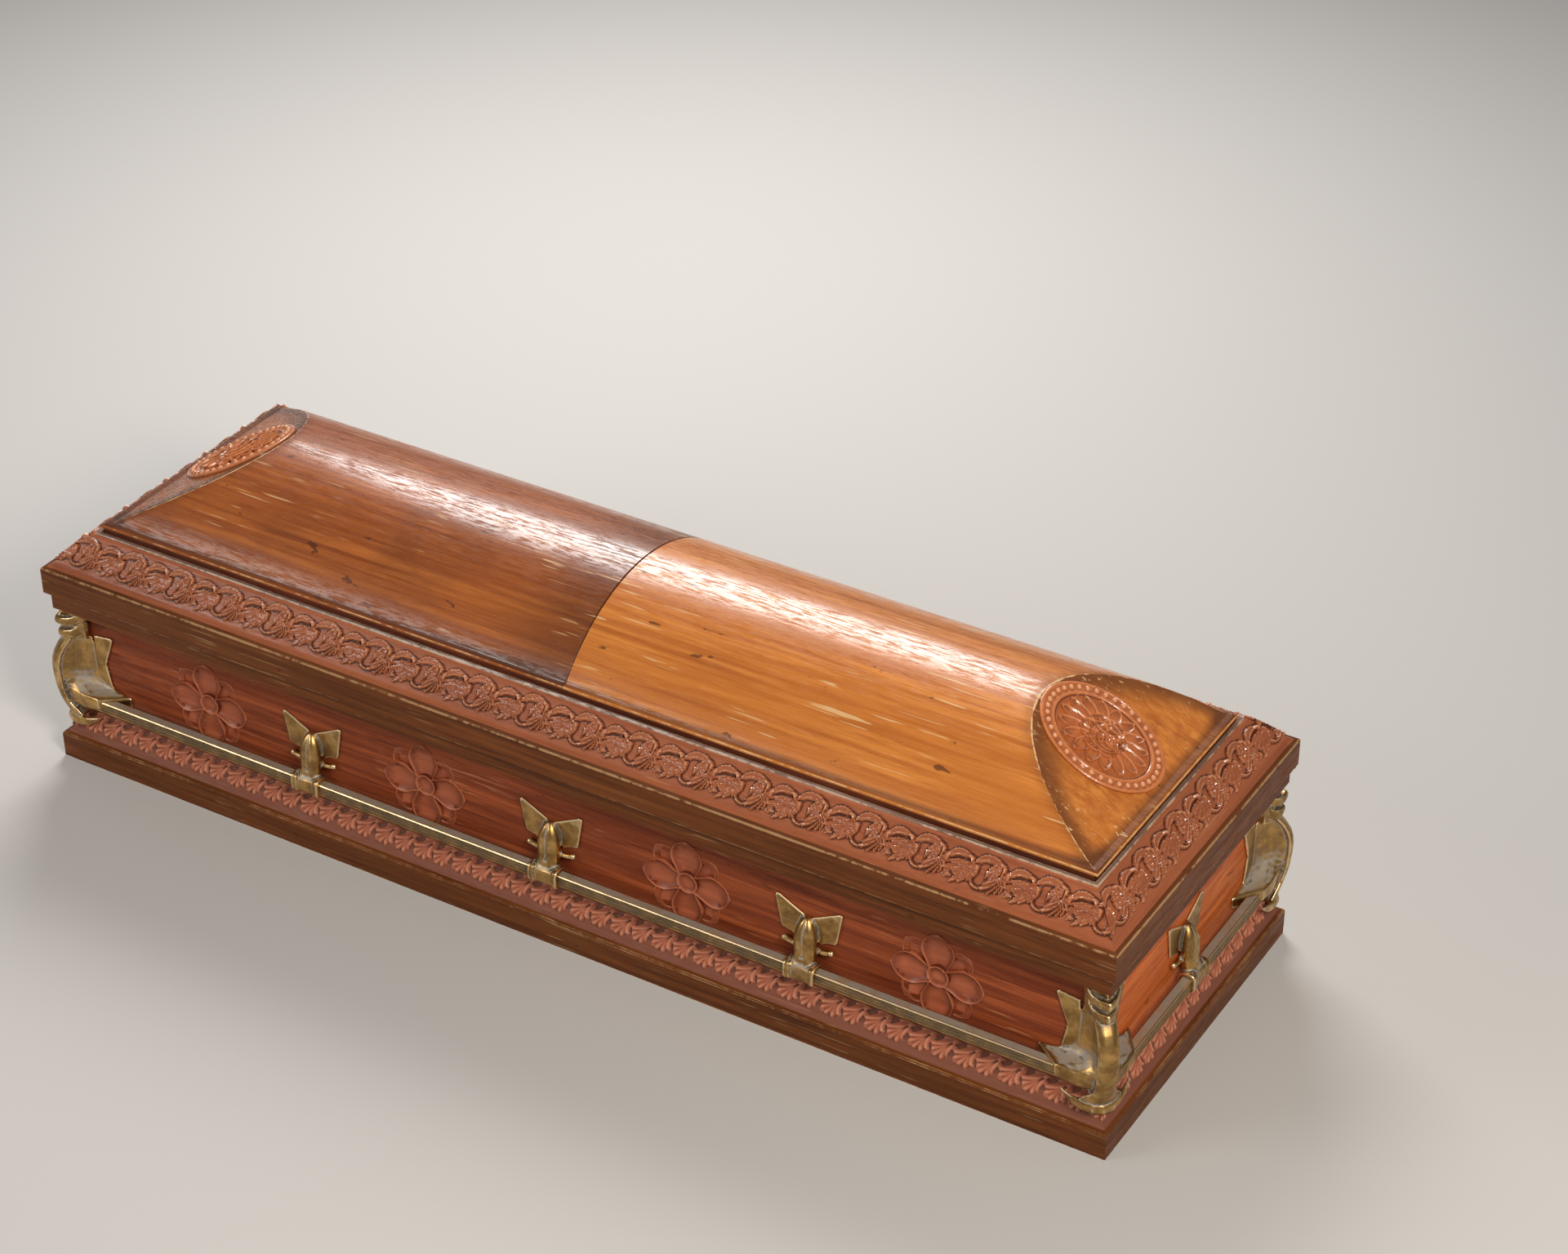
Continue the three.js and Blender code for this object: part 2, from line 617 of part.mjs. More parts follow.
// A spool, wider at its two ends than between them
function bracketSleeve() {
  const outline = [[9, 116], [40.5, 116], [40.5, 144], [33, 152], [9, 152]];
  const centre = [24, 134];
  const stations = [[-28, 1], [-18, 0.93], [18, 0.93], [28, 1]];
  const rings = stations.map(([x, size]) => outline.map(([out, height]) => new THREE.Vector3(
    x,
    -(centre[0] + (out - centre[0]) * size),
    centre[1] + (height - centre[1]) * size,
  )));
  return loft(rings);
}

function bracketSolid() {
  const wings = mirrored([
    [0, 222], [9, 229], [60, 254], [51, 191], [34, 186], [47, 174], [27, 150],
  ]);
  const near = BAR.near - BAR.clear;
  const far = BAR.far + BAR.clear;
  const low = BAR.low - BAR.clear;
  const high = BAR.high + BAR.clear;
  const hole = [[near, low], [far, low], [far, high], [near, high]];
  const whole = join([plateOn(wings, 3), bracketBud(), bracketSleeve()]);
  return whole.subtract(sideProfile(hole, 200));
}

function brackets() {
  const solid = bracketSolid();
  for (const side of SIDES) {
    const long = side.half === HALF_LENGTH;
    const places = long ? BRACKET_PLACES : [0];
    places.forEach((along, i) => {
      const name = long ? `bracket_${side.name}_${i + 1}` : `bracket_${side.name}`;
      const spot = new THREE.Vector3(along, PANEL_INSET - side.depth, 0).applyAxisAngle(AXIS_Z, side.turn);
      place(name, 'brass', geometryFromSolid(solid), spot.toArray(), side.turn);
    });
  }
}

// Corner casting, symmetric about the diagonal. Plan points are [a, b]: a past the end, b past the long side.

const swap = ([a, b, ...rest]) => [b, a, ...rest];
const corner = ([a, b, ...rest]) => [a, -b, ...rest];

function cornerWeb() {
  const levels = [
    [86, 17, 12], [116, 25, 32], [154, 32.5, 44], [190, 34.5, 36], [228, 29, 32], [256, 17, 28],
  ];
  const strap = 12.4;
  const rings = levels.map(([height, out, along]) => {
    const start = [-along, 3];
    const pull = [4, 10];
    const edge = [out - strap, out + strap];
    const cove = [0, 1].map((k) => 0.25 * start[k] + 0.5 * pull[k] + 0.25 * edge[k]);
    const oneSide = [[-along, GAP], start, cove, edge];
    const ring = [[GAP, GAP], ...oneSide, [out + 3, out + 3], ...oneSide.map(swap).reverse()];
    return ring.map(([a, b]) => new THREE.Vector3(a, -b, height));
  });
  return loft(rings);
}

function cornerAnchor() {
  const stations = [[-46, 32, 104, 2.5], [-14, 36, 91, 9]];
  const path = [...stations, [24, 24, 86, 11], ...stations.map(swap).reverse()];
  const count = 4;
  const rings = path.map(([a, b, height, radius]) => {
    const away = new THREE.Vector3(1, -1, 0).normalize();
    return Array.from({ length: count }, (_, k) => {
      const angle = (2 * Math.PI * k) / count;
      return new THREE.Vector3(a, -b, height)
        .addScaledVector(away, Math.cos(angle) * radius * 0.7)
        .addScaledVector(AXIS_Z, Math.sin(angle) * radius);
    });
  });
  return loft(rings);
}

function cornerSolid() {
  const flange = [[-104, GAP, 131, 155], [-55, 37, 117, 150], [-8, 40, 113, 147], [-4, GAP, 118, 172]];
  const upperBand = [
    [GAP, GAP, 272, 311], [-20, GAP, 286, 312], [-13, 22, 284, 310], [27, 27, 276, 302],
  ];
  const lowerBand = [
    [GAP, GAP, 252, 281], [-26, GAP, 262, 288], [-15, 23, 254, 280], [24, 24, 252, 274],
  ];
  const plate = [[-34, 262], [-74, 267], [-53, 207], [-63, 152], [-34, 166]];
  const face = prismAlongY(plate, 3).translate([0, -GAP - 1.5, 0]);
  const round = [...upperBand, ...upperBand.slice(1, -1).map(swap).reverse()];
  const lower = [...lowerBand, ...lowerBand.slice(1, -1).map(swap).reverse()];
  const flip = (solid) => solid.mirror([1, 1, 0]);
  const oneSide = join([slab(flange.map(corner)), face]);
  const whole = join([
    cornerWeb(), cornerAnchor(), oneSide, flip(oneSide), slab(round.map(corner)), slab(lower.map(corner)),
  ]);
  const c = BAR.clear;
  const socket = block([-300, -BAR.far - c, BAR.low - c], [-BAR_SOCKET, -BAR.near + c, BAR.high + c]);
  const foot = prismAlongY(baseClearance(), 800);
  return whole.subtract(socket).subtract(flip(socket)).subtract(foot.intersect(flip(foot)));
}

// Outline, past the end face, of the room taken by the base moulding and its leaves.
function baseClearance() {
  const [[insetLow, low], [insetHigh, high]] = [BASE_SLOPE.from, BASE_SLOPE.to];
  const room = BASE_RELIEF + 1;
  const steep = (high - low) / (insetHigh - insetLow);
  const heightAt = (past) => high + room * Math.hypot(1, steep) - past * steep;
  return [[-400, -10], [60, -10], [60, heightAt(60)], [0, heightAt(0)], [0, 400], [-400, 400]];
}

function corners() {
  const x = HALF_LENGTH - PANEL_INSET;
  const y = HALF_WIDTH - PANEL_INSET;
  const spots = [['front_right', x, -y], ['back_right', x, y], ['back_left', -x, y], ['front_left', -x, -y]];
  const solid = cornerSolid();
  spots.forEach(([name, px, py], k) => {
    place(`corner_${name}`, 'brass', geometryFromSolid(solid), [px, py, 0], (Math.PI / 2) * k);
  });
}

floor();
for (const side of SIDES) {
  baseMoulding(side);
  panel(side);
  wallLining(side);
  boxRim(side);
  lidBorder(side);
  bar(side);
}
pillow();
crown();
medallions();
brackets();
corners();
hinges();

export default casket;
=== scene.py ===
# %% [markdown]
# # A carved casket, dressed for the camera
# The solids of the casket come from model.glb. This script keeps the ones whose shape is already right, and
# makes finer pieces for the carving, the castings and the cloth, each in the place of its solid. All lengths
# are metres.

import math

import bmesh
import bpy
import numpy as np
from mathutils import Matrix, Vector, noise


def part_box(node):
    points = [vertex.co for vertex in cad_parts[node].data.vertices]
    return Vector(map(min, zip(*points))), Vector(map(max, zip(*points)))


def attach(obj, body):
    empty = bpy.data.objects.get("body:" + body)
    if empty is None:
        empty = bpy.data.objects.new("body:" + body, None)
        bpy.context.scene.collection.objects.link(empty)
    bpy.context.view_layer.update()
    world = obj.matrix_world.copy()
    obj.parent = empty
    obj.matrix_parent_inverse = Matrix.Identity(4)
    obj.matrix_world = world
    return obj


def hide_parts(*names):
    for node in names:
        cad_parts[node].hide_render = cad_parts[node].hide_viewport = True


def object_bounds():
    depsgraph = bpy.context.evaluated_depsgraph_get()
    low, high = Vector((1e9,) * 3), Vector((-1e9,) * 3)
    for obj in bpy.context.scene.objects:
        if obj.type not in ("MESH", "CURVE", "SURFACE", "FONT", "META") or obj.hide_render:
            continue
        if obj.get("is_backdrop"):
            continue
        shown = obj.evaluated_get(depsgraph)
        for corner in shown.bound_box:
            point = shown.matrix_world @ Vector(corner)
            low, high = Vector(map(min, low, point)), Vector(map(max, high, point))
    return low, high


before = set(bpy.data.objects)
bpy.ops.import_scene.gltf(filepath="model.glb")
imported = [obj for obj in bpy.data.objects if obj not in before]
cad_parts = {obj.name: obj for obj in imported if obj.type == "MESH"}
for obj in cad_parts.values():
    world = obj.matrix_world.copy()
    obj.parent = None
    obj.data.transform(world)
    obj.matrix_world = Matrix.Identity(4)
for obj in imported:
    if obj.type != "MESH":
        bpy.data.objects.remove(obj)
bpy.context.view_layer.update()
MM = 0.001
HALF_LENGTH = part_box("base_moulding_right")[1].x
HALF_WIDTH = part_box("base_moulding_back")[1].y
PANEL_INSET = 40 * MM


def about_z(degrees):
    return Matrix.Rotation(math.radians(degrees), 4, "Z")


SIDES = {
    name: {"turn": about_z(turn), "half": half, "depth": depth, "grain": grain}
    for name, turn, half, depth, grain in (
        ("front", 0, HALF_LENGTH, HALF_WIDTH, "along"), ("right", 90, HALF_WIDTH, HALF_LENGTH, "across"),
        ("back", 180, HALF_LENGTH, HALF_WIDTH, "along"), ("left", 270, HALF_WIDTH, HALF_LENGTH, "across"))
}
print("outline", round(HALF_LENGTH * 2, 3), "x", round(HALF_WIDTH * 2, 3))

# %% [markdown]
# A mesh is a list of points and a list of faces. Small helpers make meshes from such lists, sew grids
# together, and hand a finished piece over: which body it rides on and which solids it stands for, which are
# hidden. Writing them once keeps every later piece short.


# %% Helpers for meshes
def object_from_mesh(name, mesh):
    obj = bpy.data.objects.new(name, mesh)
    bpy.context.scene.collection.objects.link(obj)
    return obj


def mesh_from_lists(name, points, faces):
    mesh = bpy.data.meshes.new(name)
    mesh.from_pydata([tuple(p) for p in points], [], faces)
    mesh.validate()
    return mesh


def smooth_shade(mesh, sharp_deg=None):
    """Shades smooth, with creases past an angle."""
    mesh.shade_smooth()
    if sharp_deg is not None:
        mesh.set_sharp_from_angle(angle=math.radians(sharp_deg))
    return mesh


def mesh_from_bm(name, bm, sharp_deg=None):
    mesh = bpy.data.meshes.new(name)
    bm.to_mesh(mesh)
    bm.free()
    return smooth_shade(mesh, sharp_deg)


def tidy_normals(mesh, sharp_deg=None):
    """Merges doubles, turns every face outwards and shades."""
    bm = bmesh.new()
    bm.from_mesh(mesh)
    bmesh.ops.remove_doubles(bm, verts=bm.verts, dist=1e-5)
    bmesh.ops.dissolve_degenerate(bm, edges=bm.edges, dist=1e-6)
    bmesh.ops.recalc_face_normals(bm, faces=bm.faces)
    bm.to_mesh(mesh)
    bm.free()
    return smooth_shade(mesh, sharp_deg)


def neighbours(loop):
    """Each item of a closed loop with the next one."""
    return zip(loop, loop[1:] + loop[:1])


def grid_faces(rows, columns):
    """Faces of a grid of cells whose points lie row by row, and the points round its border."""
    at = lambda i, j: i * (columns + 1) + j
    faces = [(at(i, j), at(i + 1, j), at(i + 1, j + 1), at(i, j + 1)) for i in range(rows)
             for j in range(columns)]
    border = ([at(i, 0) for i in range(rows)] + [at(rows, j) for j in range(columns)]
              + [at(i, columns) for i in range(rows, 0, -1)] + [at(0, j) for j in range(columns, 0, -1)])
    return faces, border


def sewn_mesh(name, points, rows, columns, sharp_deg=None):
    """Two grids of equal size, one after the other, sewn together round the border."""
    faces, border = grid_faces(rows, columns)
    shift = (rows + 1) * (columns + 1)
    faces += [(a + shift, d + shift, c + shift, b + shift) for a, b, c, d in faces]
    faces += [(a + shift, b + shift, b, a) for a, b in neighbours(border)]
    return tidy_normals(mesh_from_lists(name, points, faces), sharp_deg)


def points_of(mesh):
    at = np.zeros(len(mesh.vertices) * 3, np.float32)
    mesh.vertices.foreach_get("co", at)
    return at.reshape(-1, 3)


def set_float(mesh, name, values):
    attribute = mesh.attributes.get(name) or mesh.attributes.new(name, "FLOAT", "POINT")
    attribute.data.foreach_set("value", np.asarray(values, np.float32).ravel())


def with_finish(mesh, material):
    mesh.materials.clear()
    mesh.materials.append(material)
    return mesh


def evaluated_copy(obj):
    """The object's mesh with its modifiers worked in, as a plain mesh."""
    bpy.context.view_layer.update()
    graph = bpy.context.evaluated_depsgraph_get()
    return bpy.data.meshes.new_from_object(obj.evaluated_get(graph))


def apply_modifiers(obj):
    mesh = evaluated_copy(obj)
    obj.modifiers.clear()
    obj.data = mesh


def add_modifier(obj, name, kind, **settings):
    modifier = obj.modifiers.new(name, kind)
    for key, value in settings.items():
        setattr(modifier, key, value)
    return modifier


def hand_over(obj, body, slot, *nodes):
    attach(obj, body)
    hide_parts(*nodes)
    print(f"{obj.name}: {len(obj.data.polygons)} faces, rides on {body}")


# %% [markdown]
# ## Finishes
# The wood is stained and lacquered, with long grain and rubbed edges. In the carving, painted shade darkens
# the
# hollows and a painted highlight lightens the ridges. The effects that several woods share are shader groups:
# one makes grain, one turns a mesh's own "wear" value into broken patches.


# %% Helpers for shader nodes
def feed(tree, socket, value):
    """Links a socket to another node's output, or sets a plain value."""
    if isinstance(value, bpy.types.NodeSocket):
        tree.links.new(value, socket)
    elif value is not None:
        socket.default_value = (*value, 1) if socket.type == "RGBA" and len(value) == 3 else value


def add_node(tree, kind, **settings):
    """A node with its inputs linked or set, and its other settings."""
    node = tree.nodes.new(kind)
    for key, value in settings.items():
        if key in node.inputs:
            feed(tree, node.inputs[key], value)
        else:
            setattr(node, key, value)
    return node


def new_group(name, inputs, outputs):
    """A shader group of plain numbers, whose first input is a vector."""
    tree = bpy.data.node_groups.new(name, "ShaderNodeTree")
    tree.interface.new_socket("Vector", in_out="INPUT", socket_type="NodeSocketVector")
    for label, value in inputs.items():
        tree.interface.new_socket(label, in_out="INPUT", socket_type="NodeSocketFloat").default_value = value
    for label in outputs:
        tree.interface.new_socket(label, in_out="OUTPUT", socket_type="NodeSocketFloat")
    return tree, tree.nodes.new("NodeGroupInput").outputs, tree.nodes.new("NodeGroupOutput").inputs


def math_node(tree, operation, a, b=None, c=None, clamp=False):
    node = add_node(tree, "ShaderNodeMath", operation=operation, use_clamp=clamp)
    for socket, value in zip(node.inputs, (a, b, c)):
        feed(tree, socket, value)
    return node.outputs[0]


def mix_colour(tree, factor, a, b):
    node = add_node(tree, "ShaderNodeMix", data_type="RGBA")
    for number, value in ((0, factor), (6, a), (7, b)):
        feed(tree, node.inputs[number], value)
    return node.outputs[2]


def layers(tree, colour, *coats):
    """Coats of (share, colour), each over the last."""
    for share, tint in coats:
        colour = mix_colour(tree, share, colour, tint)
    return colour


def map_range(tree, value, low, high, to_low=0.0, to_high=1.0):
    limits = {"From Min": low, "From Max": high, "To Min": to_low, "To Max": to_high}
    node = add_node(tree, "ShaderNodeMapRange", interpolation_type="SMOOTHSTEP", Value=value, **limits)
    return node.outputs["Result"]


def noise_at(tree, vector, **settings):
    return add_node(tree, "ShaderNodeTexNoise", Vector=vector, **settings).outputs["Fac"]


def mapped(tree, vector, **settings):
    return add_node(tree, "ShaderNodeMapping", Vector=vector, **settings).outputs[0]


# %% Shared effects: grain, patches, scratches, weave
def make_grain_group():
    """Wood grain along X: wide flames, fine streaks and pores."""
    tree, given, made = new_group("wood grain", {"Figure": 1.0, "Fineness": 1.0}, ("Grain", "Flame"))
    wide = mapped(tree, given["Vector"], Scale=(0.1, 1.0, 1.0))
    wander = noise_at(tree, wide, Scale=7.0, Detail=3.0, Roughness=0.5, Distortion=0.6)
    wave = math_node(tree, "SINE", math_node(tree, "MULTIPLY", wander, 42.0))
    flame = math_node(tree, "MULTIPLY_ADD", wave, 0.5, 0.5)
    tree.links.new(math_node(tree, "MULTIPLY", flame, given["Figure"], clamp=True), made["Flame"])
    long = mapped(tree, given["Vector"], Scale=(0.035, 1.0, 1.0))
    size = math_node(tree, "MULTIPLY", given["Fineness"], 60.0)
    streak = noise_at(tree, long, Scale=size, Detail=9.0, Roughness=0.68, Distortion=0.3)
    tree.links.new(map_range(tree, streak, 0.3, 0.72), made["Grain"])
    return tree


def make_patch_group():
    """Broken patches where a mask, such as a rubbed edge, meets a rough noise."""
    tree, given, made = new_group("worn patches", {"Mask": 0.0, "Scale": 60.0, "Spread": 0.5}, ("Worn",))
    fine = noise_at(tree, given["Vector"], Scale=given["Scale"], Detail=6.0, Roughness=0.65)
    wide = noise_at(tree, given["Vector"], Scale=7.0, Detail=4.0, Roughness=0.6)
    broken = math_node(tree, "ADD", fine, math_node(tree, "SUBTRACT", wide, 0.5))
    product = math_node(tree, "MULTIPLY", math_node(tree, "ADD", broken, given["Spread"]), given["Mask"])
    tree.links.new(map_range(tree, product, 0.42, 0.62), made["Worn"])
    return tree


def make_scratch_group():
    """Thin pale scratches and small dark nicks, each a stretched noise that just tops its limit."""
    tree, given, made = new_group("scratches", {"Amount": 0.5}, ("Scratch", "Nick"))
    most = 0.0
    for turn, stretch in ((0.5, 0.035), (1.9, 0.04), (2.7, 0.06)):
        place = mapped(tree, given["Vector"], Rotation=(0.3, turn, turn), Scale=(stretch, 1.0, 1.0))
        line = noise_at(tree, place, Scale=150.0, Detail=2.0, Roughness=0.4)
        most = math_node(tree, "MAXIMUM", most, map_range(tree, line, 0.68, 0.72))
    gate = map_range(tree, noise_at(tree, given["Vector"], Scale=6.0, Detail=3.0), 0.47, 0.6)
    long = mapped(tree, given["Vector"], Rotation=(0.0, 0.2, 0.4), Scale=(0.45, 1.0, 1.0))
    nick = map_range(tree, noise_at(tree, long, Scale=42.0, Detail=3.0, Roughness=0.55), 0.68, 0.72)
    for label, value in (("Scratch", math_node(tree, "MULTIPLY", most, gate)), ("Nick", nick)):
        tree.links.new(math_node(tree, "MULTIPLY", value, given["Amount"]), made[label])
    return tree


def make_weave_group():
    """Plain weave: uneven threads crossing on the piece's own UV map, in metres."""
    tree, given, made = new_group("plain weave", {"Threads": 520.0}, ("Height", "Slub"))
    waves, slubs = [], []
    for axis, stretch in (("X", (1.0, 0.04, 0.04)), ("Y", (0.04, 1.0, 0.04))):
        lines = add_node(tree, "ShaderNodeTexWave", wave_type="BANDS", bands_direction=axis,
                         Vector=given["Vector"], Scale=given["Threads"], Distortion=1.2, Detail=2.0)
        lines.inputs["Detail Scale"].default_value = 0.3
        waves.append(lines.outputs["Fac"])
        slubs.append(noise_at(tree, mapped(tree, given["Vector"], Scale=stretch), Scale=150.0, Detail=4.0))
    tree.links.new(math_node(tree, "MAXIMUM", *waves), made["Height"])
    slub = math_node(tree, "MULTIPLY", math_node(tree, "ADD", *slubs), 0.5)
    tree.links.new(map_range(tree, slub, 0.36, 0.62), made["Slub"])
    return tree


GRAIN = make_grain_group()
PATCHES = make_patch_group()
SCRATCHES = make_scratch_group()
WEAVE = make_weave_group()
print("shader groups:", [t.name for t in (GRAIN, PATCHES, SCRATCHES, WEAVE)])


# %% [markdown]
# The casket is stained hardwood under lacquer, worn through to tan at the edges. A photograph of boards laid
# over the mesh would repeat and would know nothing about edges. So one recipe makes every wood from stretched
# noise, and the mesh itself says where it is rubbed (wear), and where it takes painted shade in a hollow, a
# painted highlight on a ridge, or patina and stain on the crown (relief).


# %% Wood finishes
def place_group(tree, group, vector, **values):
    return add_node(tree, "ShaderNodeGroup", node_tree=group, Vector=vector, **values).outputs


def mesh_value(tree, name):
    return add_node(tree, "ShaderNodeAttribute", attribute_name=name).outputs["Fac"]


def start_material(name, roughness, grain_turn=0.0):
    material = bpy.data.materials.new(name)
    material.use_nodes = True
    tree = material.node_tree
    surface = tree.nodes["Principled BSDF"]
    surface.inputs["Roughness"].default_value = roughness
    where = tree.nodes.new("ShaderNodeTexCoord").outputs["Object"]
    return material, tree, surface, mapped(tree, where, Rotation=(0.0, 0.0, math.radians(grain_turn)))


def set_surface(tree, surface, **values):
    for label, value in values.items():
        feed(tree, surface.inputs[label.replace("_", " ")], value)


def bump(tree, height, strength, distance):
    node = add_node(tree, "ShaderNodeBump", Strength=strength, Distance=distance, Height=height)
    return node.outputs["Normal"]


NICK_COLOUR = (0.05, 0.014, 0.005)


def wood(name, dark, light, flame, rubbed, *, figure=0.6, fineness=1.0, roughness=0.35, coat=0.4,
         specular=0.35, grain_turn=0.0, rub=0.5, scratch=0.5, hollow=None, smoke=None, uneven=0.3):
    """A lacquered wood. Rubbed edges come from the mesh's wear value; painted shade in hollows, painted
    highlights on ridges, and the crown's patina and stain come from its relief value.
    """
    material, tree, surface, vector = start_material(name, roughness, grain_turn)
    grain = place_group(tree, GRAIN, vector, Figure=figure, Fineness=fineness)
    scratches = place_group(tree, SCRATCHES, vector, Amount=scratch)
    worn = place_group(tree, PATCHES, vector, Mask=mesh_value(tree, "wear"), Scale=70.0,
                       Spread=rub - 0.5)["Worn"]
    colour = mix_colour(tree, grain["Grain"], dark, light)
    colour = mix_colour(tree, math_node(tree, "MULTIPLY", grain["Flame"], 0.75), colour, flame)
    if smoke is not None:
        cloud = noise_at(tree, vector, Scale=2.6, Detail=5.0, Roughness=0.6)
        share = math_node(tree, "MULTIPLY", map_range(tree, cloud, 0.5, 0.78), 0.75)
        colour = mix_colour(tree, share, colour, smoke)
    # Painted shade: a low relief value darkens towards the hollow colour, which is shade in the carving's
    # hollows and patina, stain and the seam on the crown. Painted highlight: a high relief value lightens
    # ridges towards the rubbed colour, which also stands for wear there.
    if hollow is not None:
        relief = mesh_value(tree, "relief")
        colour = layers(tree, colour, (map_range(tree, relief, 0.08, 0.44, 0.92, 0.0), hollow),
                        (map_range(tree, relief, 0.6, 1.0, 0.0, 0.6), rubbed))
    nick = math_node(tree, "MULTIPLY", scratches["Nick"], 0.9)
    colour = layers(tree, colour, (scratches["Scratch"], rubbed), (nick, NICK_COLOUR), (worn, rubbed))
    gloss = noise_at(tree, mapped(tree, vector, Scale=(0.12, 1.0, 1.0)), Scale=230.0, Detail=5.0,
                     Roughness=0.75)
    dull = map_range(tree, gloss, 0.43, 0.58, roughness - 0.08, roughness + uneven)
    cuts = math_node(tree, "ADD", scratches["Scratch"], scratches["Nick"])
    height = math_node(tree, "SUBTRACT", grain["Grain"], math_node(tree, "MULTIPLY", cuts, 3.0))
    set_surface(tree, surface, Base_Color=colour, Roughness=math_node(tree, "MULTIPLY_ADD", worn, 0.25, dull),
                Coat_Weight=map_range(tree, gloss, 0.44, 0.6, coat, coat * 0.1), Coat_Roughness=0.2,
                Specular_IOR_Level=specular, Normal=bump(tree, height, 0.07, 0.0006))
    return material


TAN = (0.36, 0.2, 0.09)
GRAIN_TURN = {"along": 0, "across": 90}


def both_ways(name, *colours, **settings):
    """The same wood with its grain along the long sides and along the ends."""
    return {way: wood(f"{name}, grain {way}", *colours, grain_turn=turn, **settings)
            for way, turn in GRAIN_TURN.items()}


EDGE = both_ways("dark edge wood", (0.065, 0.017, 0.004), (0.19, 0.057, 0.013), (0.12, 0.034, 0.007), TAN,
                 rub=0.58, roughness=0.48, coat=0.02, specular=0.14, fineness=1.5, uneven=0.08)
# In the carved woods, the hollow colour is painted shade in the carving's hollows, and the rubbed colour also
# serves as a painted highlight on its ridges.
CARVED = both_ways("carved terracotta wood", (0.24, 0.06, 0.02), (0.38, 0.112, 0.04), (0.3, 0.082, 0.028),
                   (0.66, 0.32, 0.17), hollow=(0.05, 0.01, 0.004), roughness=0.25, coat=0.6, scratch=0.2)
FOOT = both_ways("carved foot wood", (0.3, 0.088, 0.045), (0.42, 0.135, 0.073), (0.36, 0.11, 0.058),
                 (0.56, 0.26, 0.16), hollow=(0.11, 0.045, 0.03), roughness=0.58, coat=0.02, specular=0.18,
                 scratch=0.15)
ROSETTE = wood("rosette wood", (0.27, 0.064, 0.027), (0.4, 0.11, 0.047), (0.33, 0.084, 0.036),
               (0.56, 0.23, 0.12), hollow=(0.06, 0.012, 0.006), roughness=0.36, coat=0.12, specular=0.22,
               scratch=0.15, uneven=0.12)
MEDALLION = wood("medallion wood", (0.42, 0.115, 0.03), (0.58, 0.18, 0.052), (0.49, 0.145, 0.04),
                 (0.8, 0.42, 0.22), hollow=(0.11, 0.024, 0.008), roughness=0.22, coat=0.7, scratch=0.2,
                 grain_turn=90)
STRIP = both_ways("rubbed strip wood", (0.11, 0.055, 0.034), (0.25, 0.14, 0.095), (0.17, 0.085, 0.053),
                  (0.42, 0.31, 0.22), roughness=0.3, coat=0.35, rub=0.55)
INSIDE = both_ways("inner boards", (0.05, 0.012, 0.005), (0.16, 0.038, 0.014), (0.09, 0.02, 0.008), TAN,
                   rub=0.45, coat=0.25)
PANEL_LOOK = {"fineness": 1.7, "roughness": 0.4, "coat": 0.05, "specular": 0.16}
# The end panels take a lighter, more orange copy of the panel wood: painted light, standing for the brighter
# light that falls on the ends.
PANEL = {
    "along": wood("panel wood, grain along", (0.115, 0.02, 0.006), (0.38, 0.088, 0.026), (0.16, 0.029, 0.008),
                  (0.5, 0.2, 0.09), figure=0.85, **PANEL_LOOK),
    "across": wood("panel wood with painted light, grain across", (0.32, 0.058, 0.011), (0.7, 0.19, 0.042), (0.4, 0.078, 0.013),
                   (0.62, 0.3, 0.13), figure=0.8, grain_turn=90, **PANEL_LOOK),
}
CROWN_LOOK = {"coat": 0.5, "specular": 0.28, "rub": 0.5, "scratch": 0.8, "fineness": 1.2}
CROWN = {
    "left": wood("crown wood, darker half", (0.2, 0.043, 0.007), (0.45, 0.132, 0.023), (0.25, 0.058, 0.009),
                 (0.6, 0.36, 0.17), figure=0.8, roughness=0.27, smoke=(0.1, 0.03, 0.01),
                 hollow=(0.07, 0.02, 0.006), **CROWN_LOOK),
    "right": wood("crown wood, lighter half", (0.36, 0.095, 0.013), (0.68, 0.245, 0.045),
                  (0.45, 0.132, 0.018), (0.66, 0.42, 0.2), figure=0.65, roughness=0.25,
                  smoke=(0.26, 0.075, 0.016), hollow=(0.1, 0.028, 0.007), **CROWN_LOOK),
}
print("woods:", len(bpy.data.materials))


# %% [markdown]
# The fittings are cast brass gone dull in the hollows and bright where hands rub it, so metal and roughness
# follow the mesh's wear value. The lining is a coarse plain weave. Threads as geometry would be far too many,
# so the weave is two crossing waves with some thick threads, in metres on the cloth's own map.


